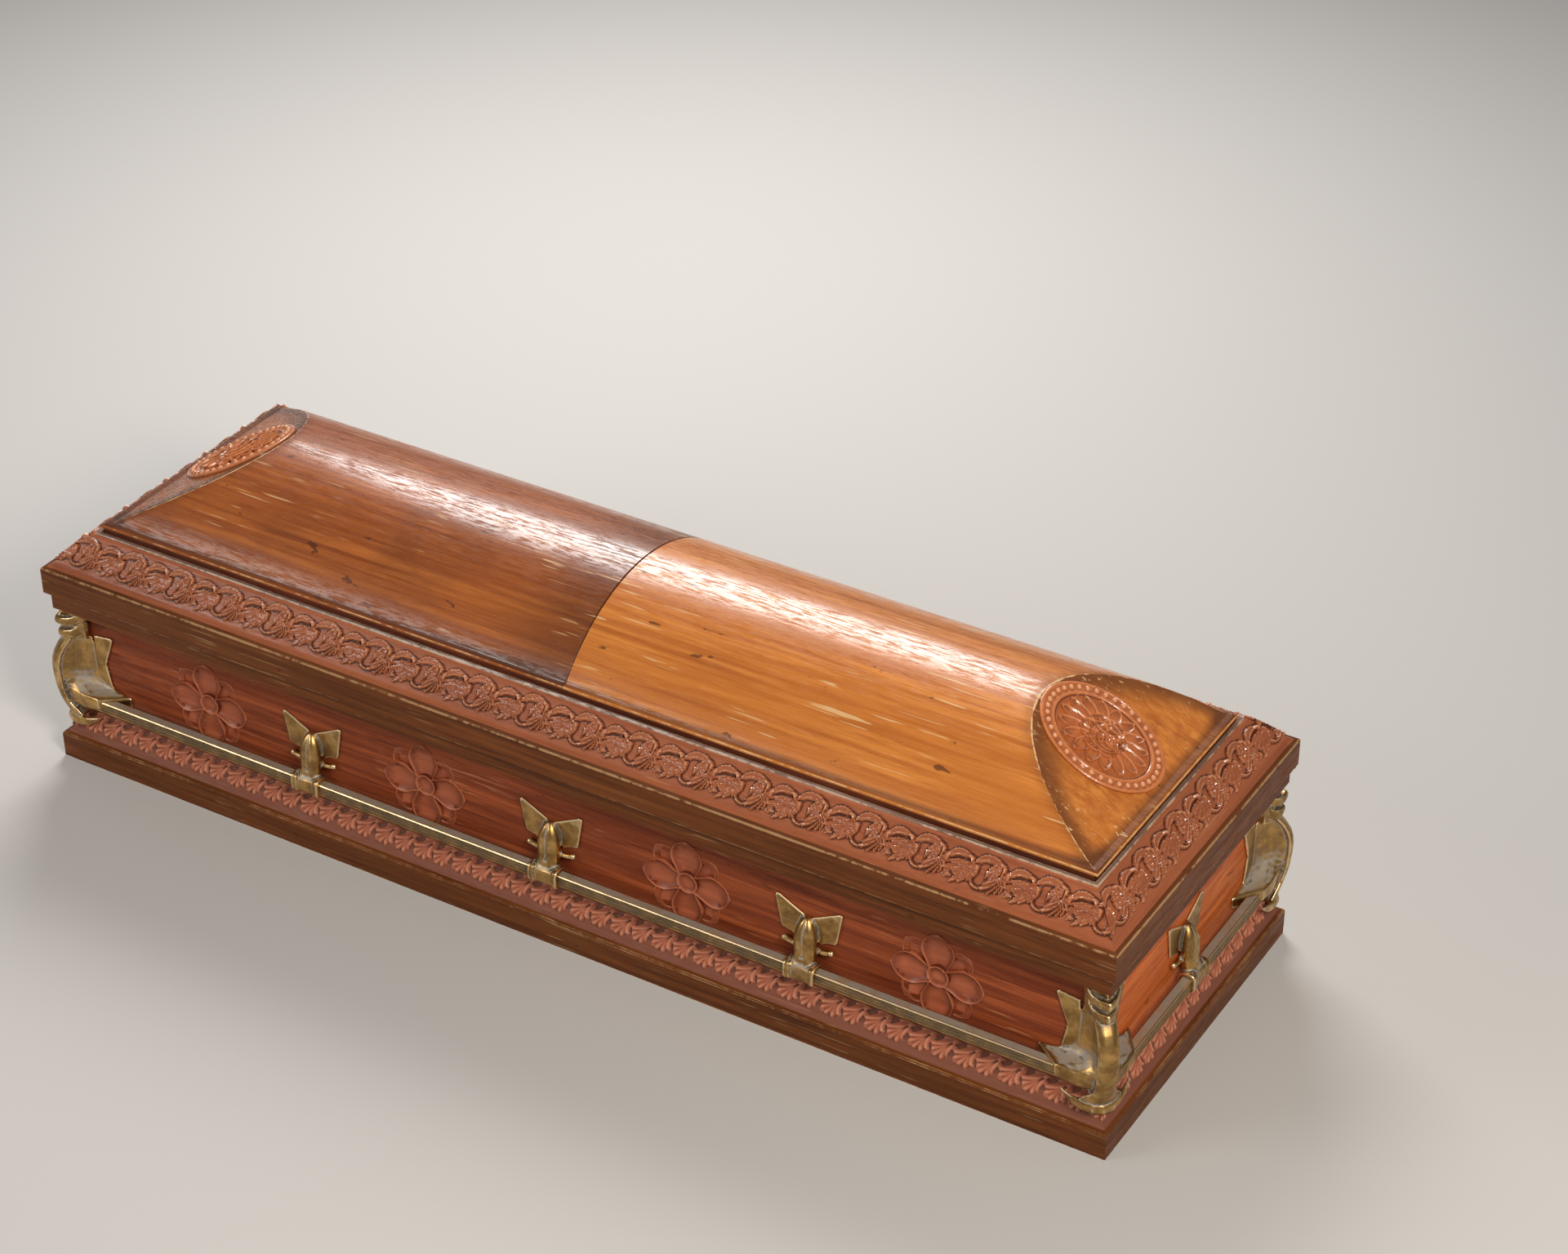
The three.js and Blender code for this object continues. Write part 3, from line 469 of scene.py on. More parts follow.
# %% Brass and linen
def make_brass():
    """Antique brass: grey where dull, gold where handled, bright where rubbed through."""
    material, tree, surface, vector = start_material("antique brass", 0.4)
    cloud = noise_at(tree, vector, Scale=38.0, Detail=7.0, Roughness=0.62)
    tone = map_range(tree, cloud, 0.34, 0.68)
    blotch = math_node(tree, "MULTIPLY", math_node(tree, "SUBTRACT", tone, 0.5), 0.14)
    uneven = math_node(tree, "ADD", mesh_value(tree, "wear"), blotch)
    dull = map_range(tree, uneven, 0.14, 0.4, 0.9, 0.0)
    colour = layers(
        tree, mix_colour(tree, tone, (0.27, 0.15, 0.05), (0.57, 0.345, 0.118)),
        (dull, (0.36, 0.315, 0.26)),
        (map_range(tree, uneven, -0.02, 0.12, 0.85, 0.0), (0.06, 0.038, 0.02)),
        (map_range(tree, uneven, 0.66, 0.95, 0.0, 0.85), (0.82, 0.64, 0.38)),
        (place_group(tree, SCRATCHES, vector, Amount=0.1)["Scratch"], (0.8, 0.68, 0.5)),
    )
    rough = math_node(tree, "MULTIPLY_ADD", dull, 0.16, map_range(tree, cloud, 0.3, 0.7, 0.42, 0.3))
    set_surface(tree, surface, Base_Color=colour, Metallic=map_range(tree, uneven, 0.14, 0.4, 0.45, 1.0),
                Roughness=rough, Normal=bump(tree, cloud, 0.15, 0.0008))
    return material


def make_linen():
    material, tree, surface, _ = start_material("linen", 0.95)
    weave = place_group(tree, WEAVE, tree.nodes.new("ShaderNodeUVMap").outputs["UV"], Threads=330.0)
    colour = mix_colour(tree, weave["Slub"], (0.66, 0.62, 0.55), (0.82, 0.785, 0.72))
    colour = mix_colour(tree, map_range(tree, weave["Height"], 0.1, 0.7, 0.25, 0.0), colour,
                        (0.48, 0.43, 0.37))
    height = math_node(tree, "ADD", weave["Height"], weave["Slub"])
    set_surface(tree, surface, Base_Color=colour, Sheen_Weight=0.25, Normal=bump(tree, height, 0.5, 0.0009))
    return material


BRASS = make_brass()
LINEN = make_linen()
print("other finishes:", BRASS.name, LINEN.name)

# %% [markdown]
# ## Carved mouldings
# The lid border and the foot moulding each repeat one leaf motif along a sloping face. A carver draws the
# motif once as a few strokes: rolled stems, hollow leaf lobes and holes. Here each stroke is a curved line
# with a width and a height, and the relief is the highest of them at every point of a small tile that covers
# one repeat.


# %% Strokes to relief
def smooth_step(low, high, x):
    t = np.clip((x - low) / (high - low), 0, 1)
    return t * t * (3 - 2 * t)


def nearest_on_path(u, v, path):
    """Distance from each point to a path of short lines, and how far along the nearest place is, 0 to 1."""
    best = np.full(u.shape, 1e9)
    along = np.zeros(u.shape)
    for k, (start, end) in enumerate(zip(path, path[1:])):
        step = end - start
        t = np.clip(((u - start[0]) * step[0] + (v - start[1]) * step[1]) / (step @ step), 0, 1)
        away = np.hypot(u - start[0] - t * step[0], v - start[1] - t * step[1])
        closer = away < best
        best[closer] = away[closer]
        along[closer] = (k + t[closer]) / (len(path) - 1)
    return best, along


def stroke_height(kind, x, along, rise):
    """Cross-section of a stroke, x being 0 on its middle line and 1 at its edge."""
    edge = 1 - smooth_step(0.9, 1.06, x)
    if kind == "roll":
        return rise * np.sqrt(np.clip(1 - x * x, 0, 1))
    if kind == "lobe":
        return rise * (0.5 + 0.5 * x * x + 0.2 * np.exp(-((x / 0.16) ** 2))) * edge * (1 - 0.25 * along)
    if kind == "cup":
        return rise * (0.4 + 0.6 * x * x) * edge
    return rise * (1 - 0.7 * x * x) * edge * (1 - 0.15 * along)


def relief_from_strokes(u, v, strokes, pitch):
    """Height of the carving at each u along the run and v up the slope, all in millimetres."""
    height = np.zeros_like(u)
    t = np.linspace(0, 1, 12)[:, None]
    for kind, root, bend, tip, width, rise in strokes:
        path = (1 - t) ** 2 * np.array(root) + 2 * t * (1 - t) * np.array(bend) + t**2 * np.array(tip)
        for shift in (-pitch, 0, pitch):
            away, along = nearest_on_path(u - shift, v, path)
            if kind == "lobe":
                reach = width * (0.3 + 0.75 * np.sin(math.pi * np.clip(along, 0, 1) ** 0.9))
            elif kind == "finger":
                reach = width * (0.35 + 1.15 * np.sqrt(np.clip(along * (1.02 - along), 0, 1)))
            else:
                reach = width * (0.75 + 0.25 * np.sin(math.pi * along))
            if kind == "hole":
                height *= smooth_step(0.75, 1.05, away / reach)
            elif kind == "vein":
                height *= 1 - rise * np.exp(-((away / width) ** 2))
            else:
                height = np.maximum(height, stroke_height(kind, away / reach, along, rise))
    return height


# This value feeds painted shade into the carving's hollows and a painted highlight onto its ridges.
def hollows_and_ridges(height, step_u, step_v, reach):
    """0.5 on even ground, less in a hollow, more on a ridge: the height against its blurred self."""
    blurred = height
    for _ in range(2):
        for axis, step in ((1, step_u), (0, step_v)):
            span = max(1, int(round(reach / step)))
            pad = [(0, 0), (0, 0)]
            pad[axis] = (span, span)
            padded = np.pad(blurred, pad, mode="wrap" if axis == 1 else "edge")
            total = sum(np.take(padded, np.arange(k, k + blurred.shape[axis]), axis)
                        for k in range(2 * span + 1))
            blurred = total / (2 * span + 1)
    return np.clip(0.5 + (height - blurred) / 3.6, 0, 1)


LID_PITCH = 105.0
LEAF_FAN = [((2, 31), (26, 42)), ((-3, 18), (22, 34)), ((5, 4), (24, 25)), ((17, -2), (32, 20)),
            ((30, 2), (40, 20)), ((43, 9), (48, 24))]
LEAF_VEINS = [((64, 8), (86, 22)), ((71, 2), (92, 20)), ((81, -2), (97, 20)), ((92, 1), (102, 22)),
              ((101, 8), (106, 26))]
LID_STROKES = [
    ("finger", (52, 40), (30, 30), (6, 14), 11.0, 3.2),
    ("finger", (108, 46), (92, 26), (70, 8), 11.0, 4.4),
    ("finger", (86, 54), (82, 38), (78, 22), 8.0, 4.4),
    ("finger", (4, 42), (20, 58), (42, 50), 6.5, 4.4),
    ("finger", (48, 46), (70, 64), (96, 52), 6.0, 4.4),
    *[("lobe", (55, 39), bend, tip, 5.4, 7.2) for tip, bend in LEAF_FAN],
    *[("roll", (108, 46), bend, tip, 1.7, 6.6) for tip, bend in LEAF_VEINS],
    ("roll", (48, 15), (56, -4), (73, 6), 2.4, 6.4),
    ("hole", (55, 13), (60, 8), (67, 11), 3.8, 0),
    ("hole", (64, 34), (67, 26), (66, 19), 2.6, 0),
    ("lobe", (90, 54), (88, 38), (79, 20), 5.2, 8.6),
    ("lobe", (81, 55), (76, 40), (70, 25), 4.2, 8.2),
    ("roll", (95, 50), (99, 38), (91, 27), 1.8, 7.2),
    ("hole", (13, 16), (15, 12), (17, 9), 3.4, 0),
    ("hole", (12, 43), (22, 47), (32, 45), 2.8, 0),
    ("hole", (60, 48), (68, 52), (75, 49), 2.4, 0),
    ("lobe", (1, 41), (14, 64), (38, 53), 6.0, 7.4),
    ("roll", (36, 52), (41, 52), (42, 47), 4.2, 8.8),
    ("lobe", (47, 46), (64, 72), (92, 56), 5.4, 7.6),
    ("roll", (88, 58), (98, 56), (97, 45), 2.6, 7.6),
]
FOOT_PITCH = 80.0
FOOT_TIPS = [(-3, 30), (0, 20), (10, 13), (22, 12), (32, 18)]
FOOT_STROKES = []
for n in (0, 1):
    x = 40 * n
    FOOT_STROKES += [("finger", (x + 42, 47), (x + 24, 33), (x + 7, 19), 15.0, 3.6)]
    FOOT_STROKES += [("finger", (x + 40, 46), (x + 22 + k, 30 - k), (x + a + 3 * n, b), 6.4, 5.6)
                     for k, (a, b) in enumerate(FOOT_TIPS)]
    FOOT_STROKES += [("vein", (x + 35, 41), (x + 22 + k, 30 - k), ((a + c) / 2 + x + 3 * n, (b + d) / 2), 1.0,
                      0.45)
                     for k, ((a, b), (c, d)) in enumerate(zip(FOOT_TIPS, FOOT_TIPS[1:]))]
    FOOT_STROKES += [("finger", (x + 42, 48), (x + 26, 52), (x + 12, 41), 4.4, 4.6)]
    FOOT_STROKES += [("hole", (x - 2, 27), (x - 3, 21), (x + 1 - 4 * n, 15), 5.4, 0),
                     ("hole", (x + 16, 46), (x + 11, 42), (x + 3, 40), 4.4, 0)]
print("strokes:", len(LID_STROKES), "on the lid,", len(FOOT_STROKES), "on the foot")

# %% [markdown]
# A moulding is its profile, run along one side of the casket and mitred at both ends. The tile holds the
# whole profile for one repeat. A Geometry Nodes tree lays the tiles in a line, joins them, cuts the ends on
# the mitre and gives each zone of the profile its finish, so the same tree makes every border, foot and rim.


# %% One tile of a moulding
EDGE_REACH = 2.4


def profile_rows(profile):
    """Rows of (point, zone, wear, height up a carved slope, direction) round a profile, in millimetres."""
    rows = []
    for (*start, steps, zone, carved), (*end, _, _, _) in neighbours(profile):
        start, end = np.array(start, float), np.array(end, float)
        length = np.linalg.norm(end - start)
        direction = (end - start) / length
        stops = [(length * k / steps, 0.0) for k in range(steps)]
        if not carved and length > 4 * EDGE_REACH:
            stops = [(0, 1.0), (EDGE_REACH, 0.3), *stops[1:], (length - EDGE_REACH, 0.3)]
        stops[0] = (0, 0.0 if carved or zone in (1, 3) else 1.0)
        for along, wear in stops:
            rows.append((start + direction * along, zone, wear, along if carved else None, direction))
    return rows


def moulding_tile(name, profile, pitch, columns, depth, carving, worn):
    """One repeat of the whole profile, carved where a row has a height up the slope."""
    rows = profile_rows(profile)
    u = np.linspace(0, pitch, columns + 1)
    rise = np.zeros((len(rows), columns + 1))
    relief = np.full_like(rise, 0.5)
    carved = [k for k, row in enumerate(rows) if row[3] is not None]
    if carved:
        v = np.array([rows[k][3] for k in carved])
        grid_u, grid_v = np.meshgrid(u * carving["pitch"] / pitch, (v - carving["lift"]) / carving["scale"])
        rise[carved] = relief_from_strokes(grid_u, grid_v, carving["strokes"], carving["pitch"])
        relief[carved] = hollows_and_ridges(rise[carved], pitch / columns, v[1] - v[0], carving["reach"])
        # On the foot, bare ground between the leaves is held at a low relief value, so it is darker all over.
        if "ground" in carving:
            bare = rise[carved] < 0.8
            relief[carved] = np.where(bare, np.minimum(relief[carved], carving["ground"]), relief[carved])
    points, wear = [], []
    for k, (point, _, edge, _, direction) in enumerate(rows):
        inset = point[0] - direction[1] * rise[k]
        height = point[1] + direction[0] * rise[k]
        points.append(np.stack([u, inset - depth / MM, height], -1))
        wear.append(np.full_like(u, edge * worn))
    points = np.concatenate(points) * MM
    count = columns + 1
    faces, zones = [], []
    for r, s in neighbours(list(range(len(rows)))):
        faces += [(r * count + c, r * count + c + 1, s * count + c + 1, s * count + c)
                  for c in range(columns)]
        zones += [rows[r][1]] * columns
    mesh = mesh_from_lists(name, points, faces)
    mesh.flip_normals()
    set_float(mesh, "relief", relief)
    set_float(mesh, "wear", np.concatenate(wear))
    mesh.attributes.new("zone", "INT", "FACE").data.foreach_set("value", zones)
    mesh.shade_smooth()
    return object_from_mesh(name, mesh)


# %% The tree that runs tiles along a side
ZONE_NAMES = ("Edge finish", "Carved finish", "Strip finish", "Inside finish")


def new_tree(name, inputs, output):
    """A Geometry Nodes tree with inputs given as label: kind of socket, and one geometry output."""
    tree = bpy.data.node_groups.new(name, "GeometryNodeTree")
    for label, kind in inputs.items():
        tree.interface.new_socket(label, in_out="INPUT", socket_type=f"NodeSocket{kind}")
    tree.interface.new_socket(output, in_out="OUTPUT", socket_type="NodeSocketGeometry")
    return tree, tree.nodes.new("NodeGroupInput").outputs, tree.nodes.new("NodeGroupOutput").inputs[output]


def vector_of(tree, **parts):
    return add_node(tree, "ShaderNodeCombineXYZ", **parts).outputs[0]


def copies_on(tree, points, copy, **settings):
    """Copies on points, made real."""
    copies = add_node(tree, "GeometryNodeInstanceOnPoints", Points=points, Instance=copy, **settings)
    return add_node(tree, "GeometryNodeRealizeInstances", Geometry=copies.outputs["Instances"]).outputs[0]


def make_run_tree():
    tree, given, made = new_tree("run of tiles", {
        "Tile": "Geometry", "Count": "Int", "Pitch": "Float", "Half length": "Float", "Depth": "Float",
        **{label: "Material" for label in ZONE_NAMES}}, "Run")
    start = vector_of(tree, X=math_node(tree, "MULTIPLY", given["Half length"], -1.0))
    line = add_node(tree, "GeometryNodeMeshLine", Count=given["Count"],
                    Offset=vector_of(tree, X=given["Pitch"]))
    tree.links.new(start, line.inputs["Start Location"])
    tiles = copies_on(tree, line.outputs["Mesh"], given["Tile"])

    position = tree.nodes.new("GeometryNodeInputPosition").outputs[0]
    where = add_node(tree, "ShaderNodeSeparateXYZ", Vector=position).outputs
    limit = math_node(tree, "SUBTRACT", given["Half length"],
                      math_node(tree, "ADD", where["Y"], given["Depth"]))
    past = math_node(tree, "SUBTRACT", math_node(tree, "ABSOLUTE", where["X"]), limit)
    outside = add_node(tree, "FunctionNodeCompare", operation="GREATER_EQUAL", A=past, B=-0.00001)
    all_corners = add_node(tree, "GeometryNodeFieldOnDomain", data_type="BOOLEAN", domain="POINT",
                           Value=outside.outputs["Result"])
    cut = add_node(tree, "GeometryNodeDeleteGeometry", domain="FACE", Geometry=tiles,
                   Selection=all_corners.outputs["Value"])

    low = math_node(tree, "MULTIPLY", limit, -1.0)
    held = math_node(tree, "MINIMUM", math_node(tree, "MAXIMUM", where["X"], low), limit)
    moved = vector_of(tree, X=held, Y=where["Y"], Z=where["Z"])
    mitre = add_node(tree, "GeometryNodeSetPosition", Geometry=cut.outputs[0], Position=moved)
    shape = add_node(tree, "GeometryNodeMergeByDistance", Geometry=mitre.outputs[0],
                     Distance=0.00002).outputs[0]

    zone = add_node(tree, "GeometryNodeInputNamedAttribute", data_type="INT",
                    Name="zone").outputs["Attribute"]
    for number, label in enumerate(ZONE_NAMES):
        match = add_node(tree, "FunctionNodeCompare", data_type="INT", operation="EQUAL")
        feed(tree, match.inputs[2], zone)
        feed(tree, match.inputs[3], number)
        shape = add_node(tree, "GeometryNodeSetMaterial", Geometry=shape, Selection=match.outputs["Result"],
                         Material=given[label]).outputs[0]
    tree.links.new(shape, made)
    return tree


def set_inputs(modifier, **values):
    """Sets a tree's inputs by their sockets' identifiers."""
    sockets = {s.name: s.identifier for s in modifier.node_group.interface.items_tree if s.in_out == "INPUT"}
    for label, value in values.items():
        modifier[sockets[label.replace("_", " ")]] = value


RUN_TREE = make_run_tree()
print("tree:", RUN_TREE.name, "with", len(RUN_TREE.nodes), "nodes")


# %% Mouldings on all four sides
def close_ends(mesh):
    """Fills the open profile at each mitre."""
    bm = bmesh.new()
    bm.from_mesh(mesh)
    bmesh.ops.dissolve_degenerate(bm, edges=bm.edges, dist=1e-6)
    rim = [e for e in bm.edges if e.is_boundary]
    caps = bmesh.ops.holes_fill(bm, edges=rim, sides=0)["faces"]
    for face in caps:
        face.material_index = len(mesh.materials) - 1
        face.smooth = False
    bmesh.ops.triangulate(bm, faces=caps)
    bm.to_mesh(mesh)
    bm.free()


def cut_boxes(obj, boxes):
    """Cuts box-shaped room, given as (low, high) corners, out of a piece."""
    bm = bmesh.new()
    for low, high in boxes:
        for vert in bmesh.ops.create_cube(bm, size=1.0)["verts"]:
            vert.co = Vector([low[k] if vert.co[k] < 0 else high[k] for k in range(3)])
    tool = object_from_mesh("room", bpy.data.meshes.new("room"))
    bm.to_mesh(tool.data)
    bm.free()
    add_modifier(obj, "room", "BOOLEAN", operation="DIFFERENCE", solver="EXACT", object=tool)
    apply_modifiers(obj)
    obj.data.validate()
    bpy.data.objects.remove(tool)


HINGE_X = (-700, 0, 700)
HINGE_HALF = 45.3


def hinge_room(inner, outer, low, high):
    """One box for each hinge, between two distances from the middle and two heights, in millimetres."""
    return [(Vector((x - HINGE_HALF, inner, low)) * MM, Vector((x + HINGE_HALF, outer, high)) * MM)
            for x in HINGE_X]


HINGE_ROOM = {
    "box_rim": [hinge_room(295.7, 321, 345.3, 349), hinge_room(320, 328, 339, 349)],
    "lid_border": [hinge_room(295.7, 330, 347.3, 351.1), hinge_room(322.5, 331, 347.3, 353.25)],
}


def run_moulding(label, profile, pitch, columns, carving, finishes, body, slot, sharp_deg, worn=1.0):
    for name, side in SIDES.items():
        count = round(2 * side["half"] / (pitch * MM))
        exact = 2 * side["half"] / count
        shape = RIM_BACK_PROFILE if (label, name) == ("box_rim", "back") else profile
        obj = moulding_tile(f"{label}_carved_{name}", shape, exact / MM, columns, side["depth"], carving,
                            worn)
        modifier = add_modifier(obj, "run", "NODES", node_group=RUN_TREE)
        set_inputs(modifier, Count=count, Pitch=exact, Half_length=side["half"], Depth=side["depth"],
                   **{zone: finish[side["grain"]] for zone, finish in zip(ZONE_NAMES, finishes)})
        apply_modifiers(obj)
        close_ends(obj.data)
        obj.data.transform(side["turn"])
        for boxes in HINGE_ROOM.get(label, []) if name == "back" else []:
            cut_boxes(obj, boxes)
        obj.data.set_sharp_from_angle(angle=math.radians(sharp_deg))
        hand_over(obj, body, slot, f"{label}_{name}")


# Corners of each closed profile: inset and height in millimetres, then the steps, zone and carving (1 or 0)
# of the stretch that follows.
LID_PROFILE = [
    (1, 348.3, 1, 0, 0), (1, 396.5, 1, 0, 0), (2.5, 399, 3, 0, 0), (9.5, 400.6, 1, 1, 0),
    (13.5, 402.5, 1, 1, 0), (17.5, 405.6, 42, 1, 1), (66.5, 452.6, 1, 1, 0), (69, 454, 1, 1, 0),
    (72.5, 454.6, 1, 2, 0), (74, 456.6, 2, 2, 0), (79.5, 457.2, 1, 2, 0), (81, 455.6, 1, 3, 0),
    (82, 451.5, 1, 3, 0), (84.6, 451.5, 1, 3, 0), (84.6, 462.7, 1, 3, 0), (112, 462.7, 1, 3, 0),
    (112, 447, 1, 3, 0), (106, 446, 1, 3, 0), (57, 403, 1, 3, 0), (53, 389, 1, 3, 0), (45, 385, 1, 3, 0),
    (41, 348.3, 1, 0, 0),
]
FOOT_PROFILE = [
    (0, 0, 1, 0, 0), (0, 47, 2, 0, 0), (1.6, 50, 2, 0, 0), (8, 51.5, 30, 1, 1), (39.7, 96, 1, 3, 0),
    (39.7, 0, 1, 3, 0),
]
RIM_PROFILE = [
    (10, 314.3, 3, 0, 0), (10, 346, 1, 0, 0), (12, 348, 3, 0, 0), (42, 348, 1, 0, 0), (46, 344, 1, 3, 0),
    (54, 344, 1, 2, 0), (58, 350, 2, 2, 0), (78, 350, 1, 2, 0), (82, 347, 3, 3, 0), (82, 314.3, 1, 3, 0),
]
RIM_BACK_PROFILE = [
    (10, 314.3, 3, 0, 0), (10, 338, 1, 0, 0), (3.5, 341, 1, 0, 0), (3.5, 346.6, 1, 0, 0), (5, 348, 3, 0, 0),
    *RIM_PROFILE[3:],
]
LID_CARVING = {"strokes": LID_STROKES, "pitch": LID_PITCH, "lift": 8.5, "scale": 0.85, "reach": 3.0}
FOOT_CARVING = {"strokes": FOOT_STROKES, "pitch": FOOT_PITCH, "lift": 4.0, "scale": 0.94, "reach": 4.0,
                "ground": 0.2}
run_moulding("lid_border", LID_PROFILE, LID_PITCH, 46, LID_CARVING, (EDGE, CARVED, STRIP, INSIDE), "lid",
             "carved_wood", 42)
run_moulding("base_moulding", FOOT_PROFILE, FOOT_PITCH, 36, FOOT_CARVING, (EDGE, FOOT, STRIP, EDGE), "box",
             "carved_wood", 42)
run_moulding("box_rim", RIM_PROFILE, 150.0, 2, None, (EDGE, CARVED, EDGE, INSIDE), "box", "edge_wood", 20,
             worn=0.7)

# %% [markdown]
# ## Panels and rosettes
# The front panel carries four rosettes: four broad petals over four smaller ones, each scooped like a spoon,
# round a hollow eye. One petal is modelled, and a small tree sets any number of copies round a circle or an
# oval, turned outwards. The same tree later sets the beads and petals of the medallions.


# %% The tree that sets copies round an oval
def make_ring_tree():
    tree, given, made = new_tree("ring of copies", {
        "Copy": "Geometry", "Count": "Int", "Start": "Float", "Radius X": "Float", "Radius Y": "Float",
        "Finish": "Material"}, "Ring")
    number = tree.nodes.new("GeometryNodeInputIndex").outputs[0]
    share = math_node(tree, "DIVIDE", math_node(tree, "MULTIPLY", number, math.tau), given["Count"])
    angle = math_node(tree, "ADD", share, given["Start"])
    spot = vector_of(tree, X=math_node(tree, "MULTIPLY", math_node(tree, "COSINE", angle), given["Radius X"]),
                     Y=math_node(tree, "MULTIPLY", math_node(tree, "SINE", angle), given["Radius Y"]))
    dots = add_node(tree, "GeometryNodePoints", Count=given["Count"], Position=spot)
    copies = copies_on(tree, dots.outputs[0], given["Copy"], Rotation=vector_of(tree, Z=angle))
    finish = add_node(tree, "GeometryNodeSetMaterial", Geometry=copies, Material=given["Finish"])
    tree.links.new(finish.outputs[0], made)
    return tree


RING_TREE = make_ring_tree()


def ring_mesh(copy_mesh, count, start, radius_x, radius_y, finish):
    obj = object_from_mesh(copy_mesh.name, copy_mesh)
    modifier = add_modifier(obj, "ring", "NODES", node_group=RING_TREE)
    set_inputs(modifier, Count=count, Start=start, Radius_X=radius_x, Radius_Y=radius_y, Finish=finish)
    mesh = evaluated_copy(obj)
    bpy.data.objects.remove(obj)
    return mesh


print("tree:", RING_TREE.name, "with", len(RING_TREE.nodes), "nodes")


# %% Petals, eye and panels
def petal_width(t, half_width, base):
    """Half the width of a petal at t, from 0 at the centre to 1 at the tip."""
    end = max(0.0, 1 - max(0.0, (t - 0.55) / 0.45) ** 2.2) ** 0.7
    return half_width * (base + (1 - base) * smooth_step(0.0, 0.55, t)) * end


def inside_petal(x, y, tip, half_width, base):
    t = (x / tip - 0.1) / 0.9
    return 0 < t < 1 and abs(y) < petal_width(t, half_width, base)


COS_45 = 0.7071


def petal_mesh(name, tip, half_width, rim, scoop, base=0.34, shade=0.3, rows=18, across=12, sink=0.0,
               under=None):
    """A spoon-shaped petal along +X from the centre, rising from z = 0 or sunk below it, closed below."""
    points, relief = [], []
    for i in range(rows + 1):
        t = i / rows
        width = petal_width(t, half_width, base)
        for j in range(across + 1):
            s = 2 * j / across - 1
            edge = max(abs(s) ** 3.0, smooth_step(0.7, 1.0, t) ** 1.6)
            nearness = max(abs(s), (t - 0.5) / 0.5)
            lift = rim * (0.5 + 0.5 * t)
            bottom = lift * scoop - sink * (1 - smooth_step(0.6, 0.95, t))
            height = bottom + (lift - bottom) * edge
            x, y = tip * (0.1 + 0.9 * t), s * max(width, 0.4 * MM)
            if under and any(inside_petal((x + k * y) * COS_45, (y - k * x) * COS_45, *under)
                             for k in (1, -1)):
                height = -sink - 1 * MM
            points.append((x, y, height))
            # Relief: a painted highlight on the rim and painted shade in a ring just inside it, down to the
            # shade value.
            relief.append(0.95 if nearness > 0.96 else shade + 0.16 * (1 - smooth_step(0.35, 0.85, nearness)))
    faces, border = grid_faces(rows, across)
    below = list(range(len(points), len(points) + len(border)))
    # The walls below get a relief of 0: full painted shade.
    points += [(*points[k][:2], -2 * MM - sink) for k in border]
    relief += [0.0] * len(border)
    faces += [(a, b, d, c) for (a, b), (c, d) in zip(neighbours(border), neighbours(below))] + [tuple(below)]
    mesh = mesh_from_lists(name, points, faces)
    set_float(mesh, "relief", relief)
    return tidy_normals(mesh, 50)


def turned_mesh(name, profile, segments, squash=1.0):
    """A turned shape about Z from (radius, height) points; squash narrows it along Y."""
    points = [(r * math.cos(a), r * math.sin(a) * squash, h) for r, h in profile
              for a in [math.tau * k / segments for k in range(segments)]]
    faces = []
    for r in range(len(profile) - 1):
        low, high = r * segments, (r + 1) * segments
        faces += [(low + k, low + n, high + n, high + k) for k, n in neighbours(list(range(segments)))]
    faces.append(tuple(range(segments)))
    faces.append(tuple(range((len(profile) - 1) * segments, len(profile) * segments)))
    return tidy_normals(mesh_from_lists(name, points, faces), 40)


def join_meshes(name, parts):
    """One object from several (mesh, matrix) pairs, each keeping its finish and values."""
    objects = []
    for mesh, matrix in parts:
        copy = mesh.copy()
        copy.transform(matrix)
        objects.append(object_from_mesh(name, copy))
    if len(objects) > 1:
        with bpy.context.temp_override(active_object=objects[0], object=objects[0], selected_objects=objects,
                                       selected_editable_objects=objects):
            bpy.ops.object.join()
    objects[0].name = name
    return objects[0]


def board_mesh(name, low, high, bevel):
    bm = bmesh.new()
    bmesh.ops.create_cube(bm, size=1.0)
    for vert in bm.verts:
        vert.co = Vector([low[k] if vert.co[k] < 0 else high[k] for k in range(3)])
    bmesh.ops.bevel(bm, geom=bm.edges, offset=bevel, segments=2, affect="EDGES", profile=0.5)
    return mesh_from_bm(name, bm, 30)


ROSETTE_X = (-0.727, -0.262, 0.262, 0.727)
ROSETTE_Z = 0.2
ROSETTE_R = 0.084
BIG_PETAL = (ROSETTE_R, 29 * MM)
PETAL_BASE = 0.5
ROOM_SIZES = ((52, 52), (60, 27), (27, 60), (70, 20), (20, 70), (76, 13), (13, 76))
big_petal = petal_mesh("big petal", *BIG_PETAL, 2.2 * MM, 0.03, base=PETAL_BASE, shade=0.26, across=20,
                       sink=8 * MM)
small_petal = petal_mesh("small petal", ROSETTE_R * 0.97, 26 * MM, 1.6 * MM, 0.05, base=PETAL_BASE, shade=0.3,
                         rows=30, across=24, sink=7 * MM, under=(*BIG_PETAL, PETAL_BASE))
big = ring_mesh(big_petal, 4, 0.0, 0.0, 0.0, ROSETTE)
small = ring_mesh(small_petal, 4, math.pi / 4, 0.0, 0.0, ROSETTE)
eye = turned_mesh("eye", [(r * MM, h * MM) for r, h in (
    (20, -10), (20, -1), (19.2, 0.4), (18, 0), (15, -2.6), (11, -4.6), (6, -5.8), (1, -6.2))], 32)
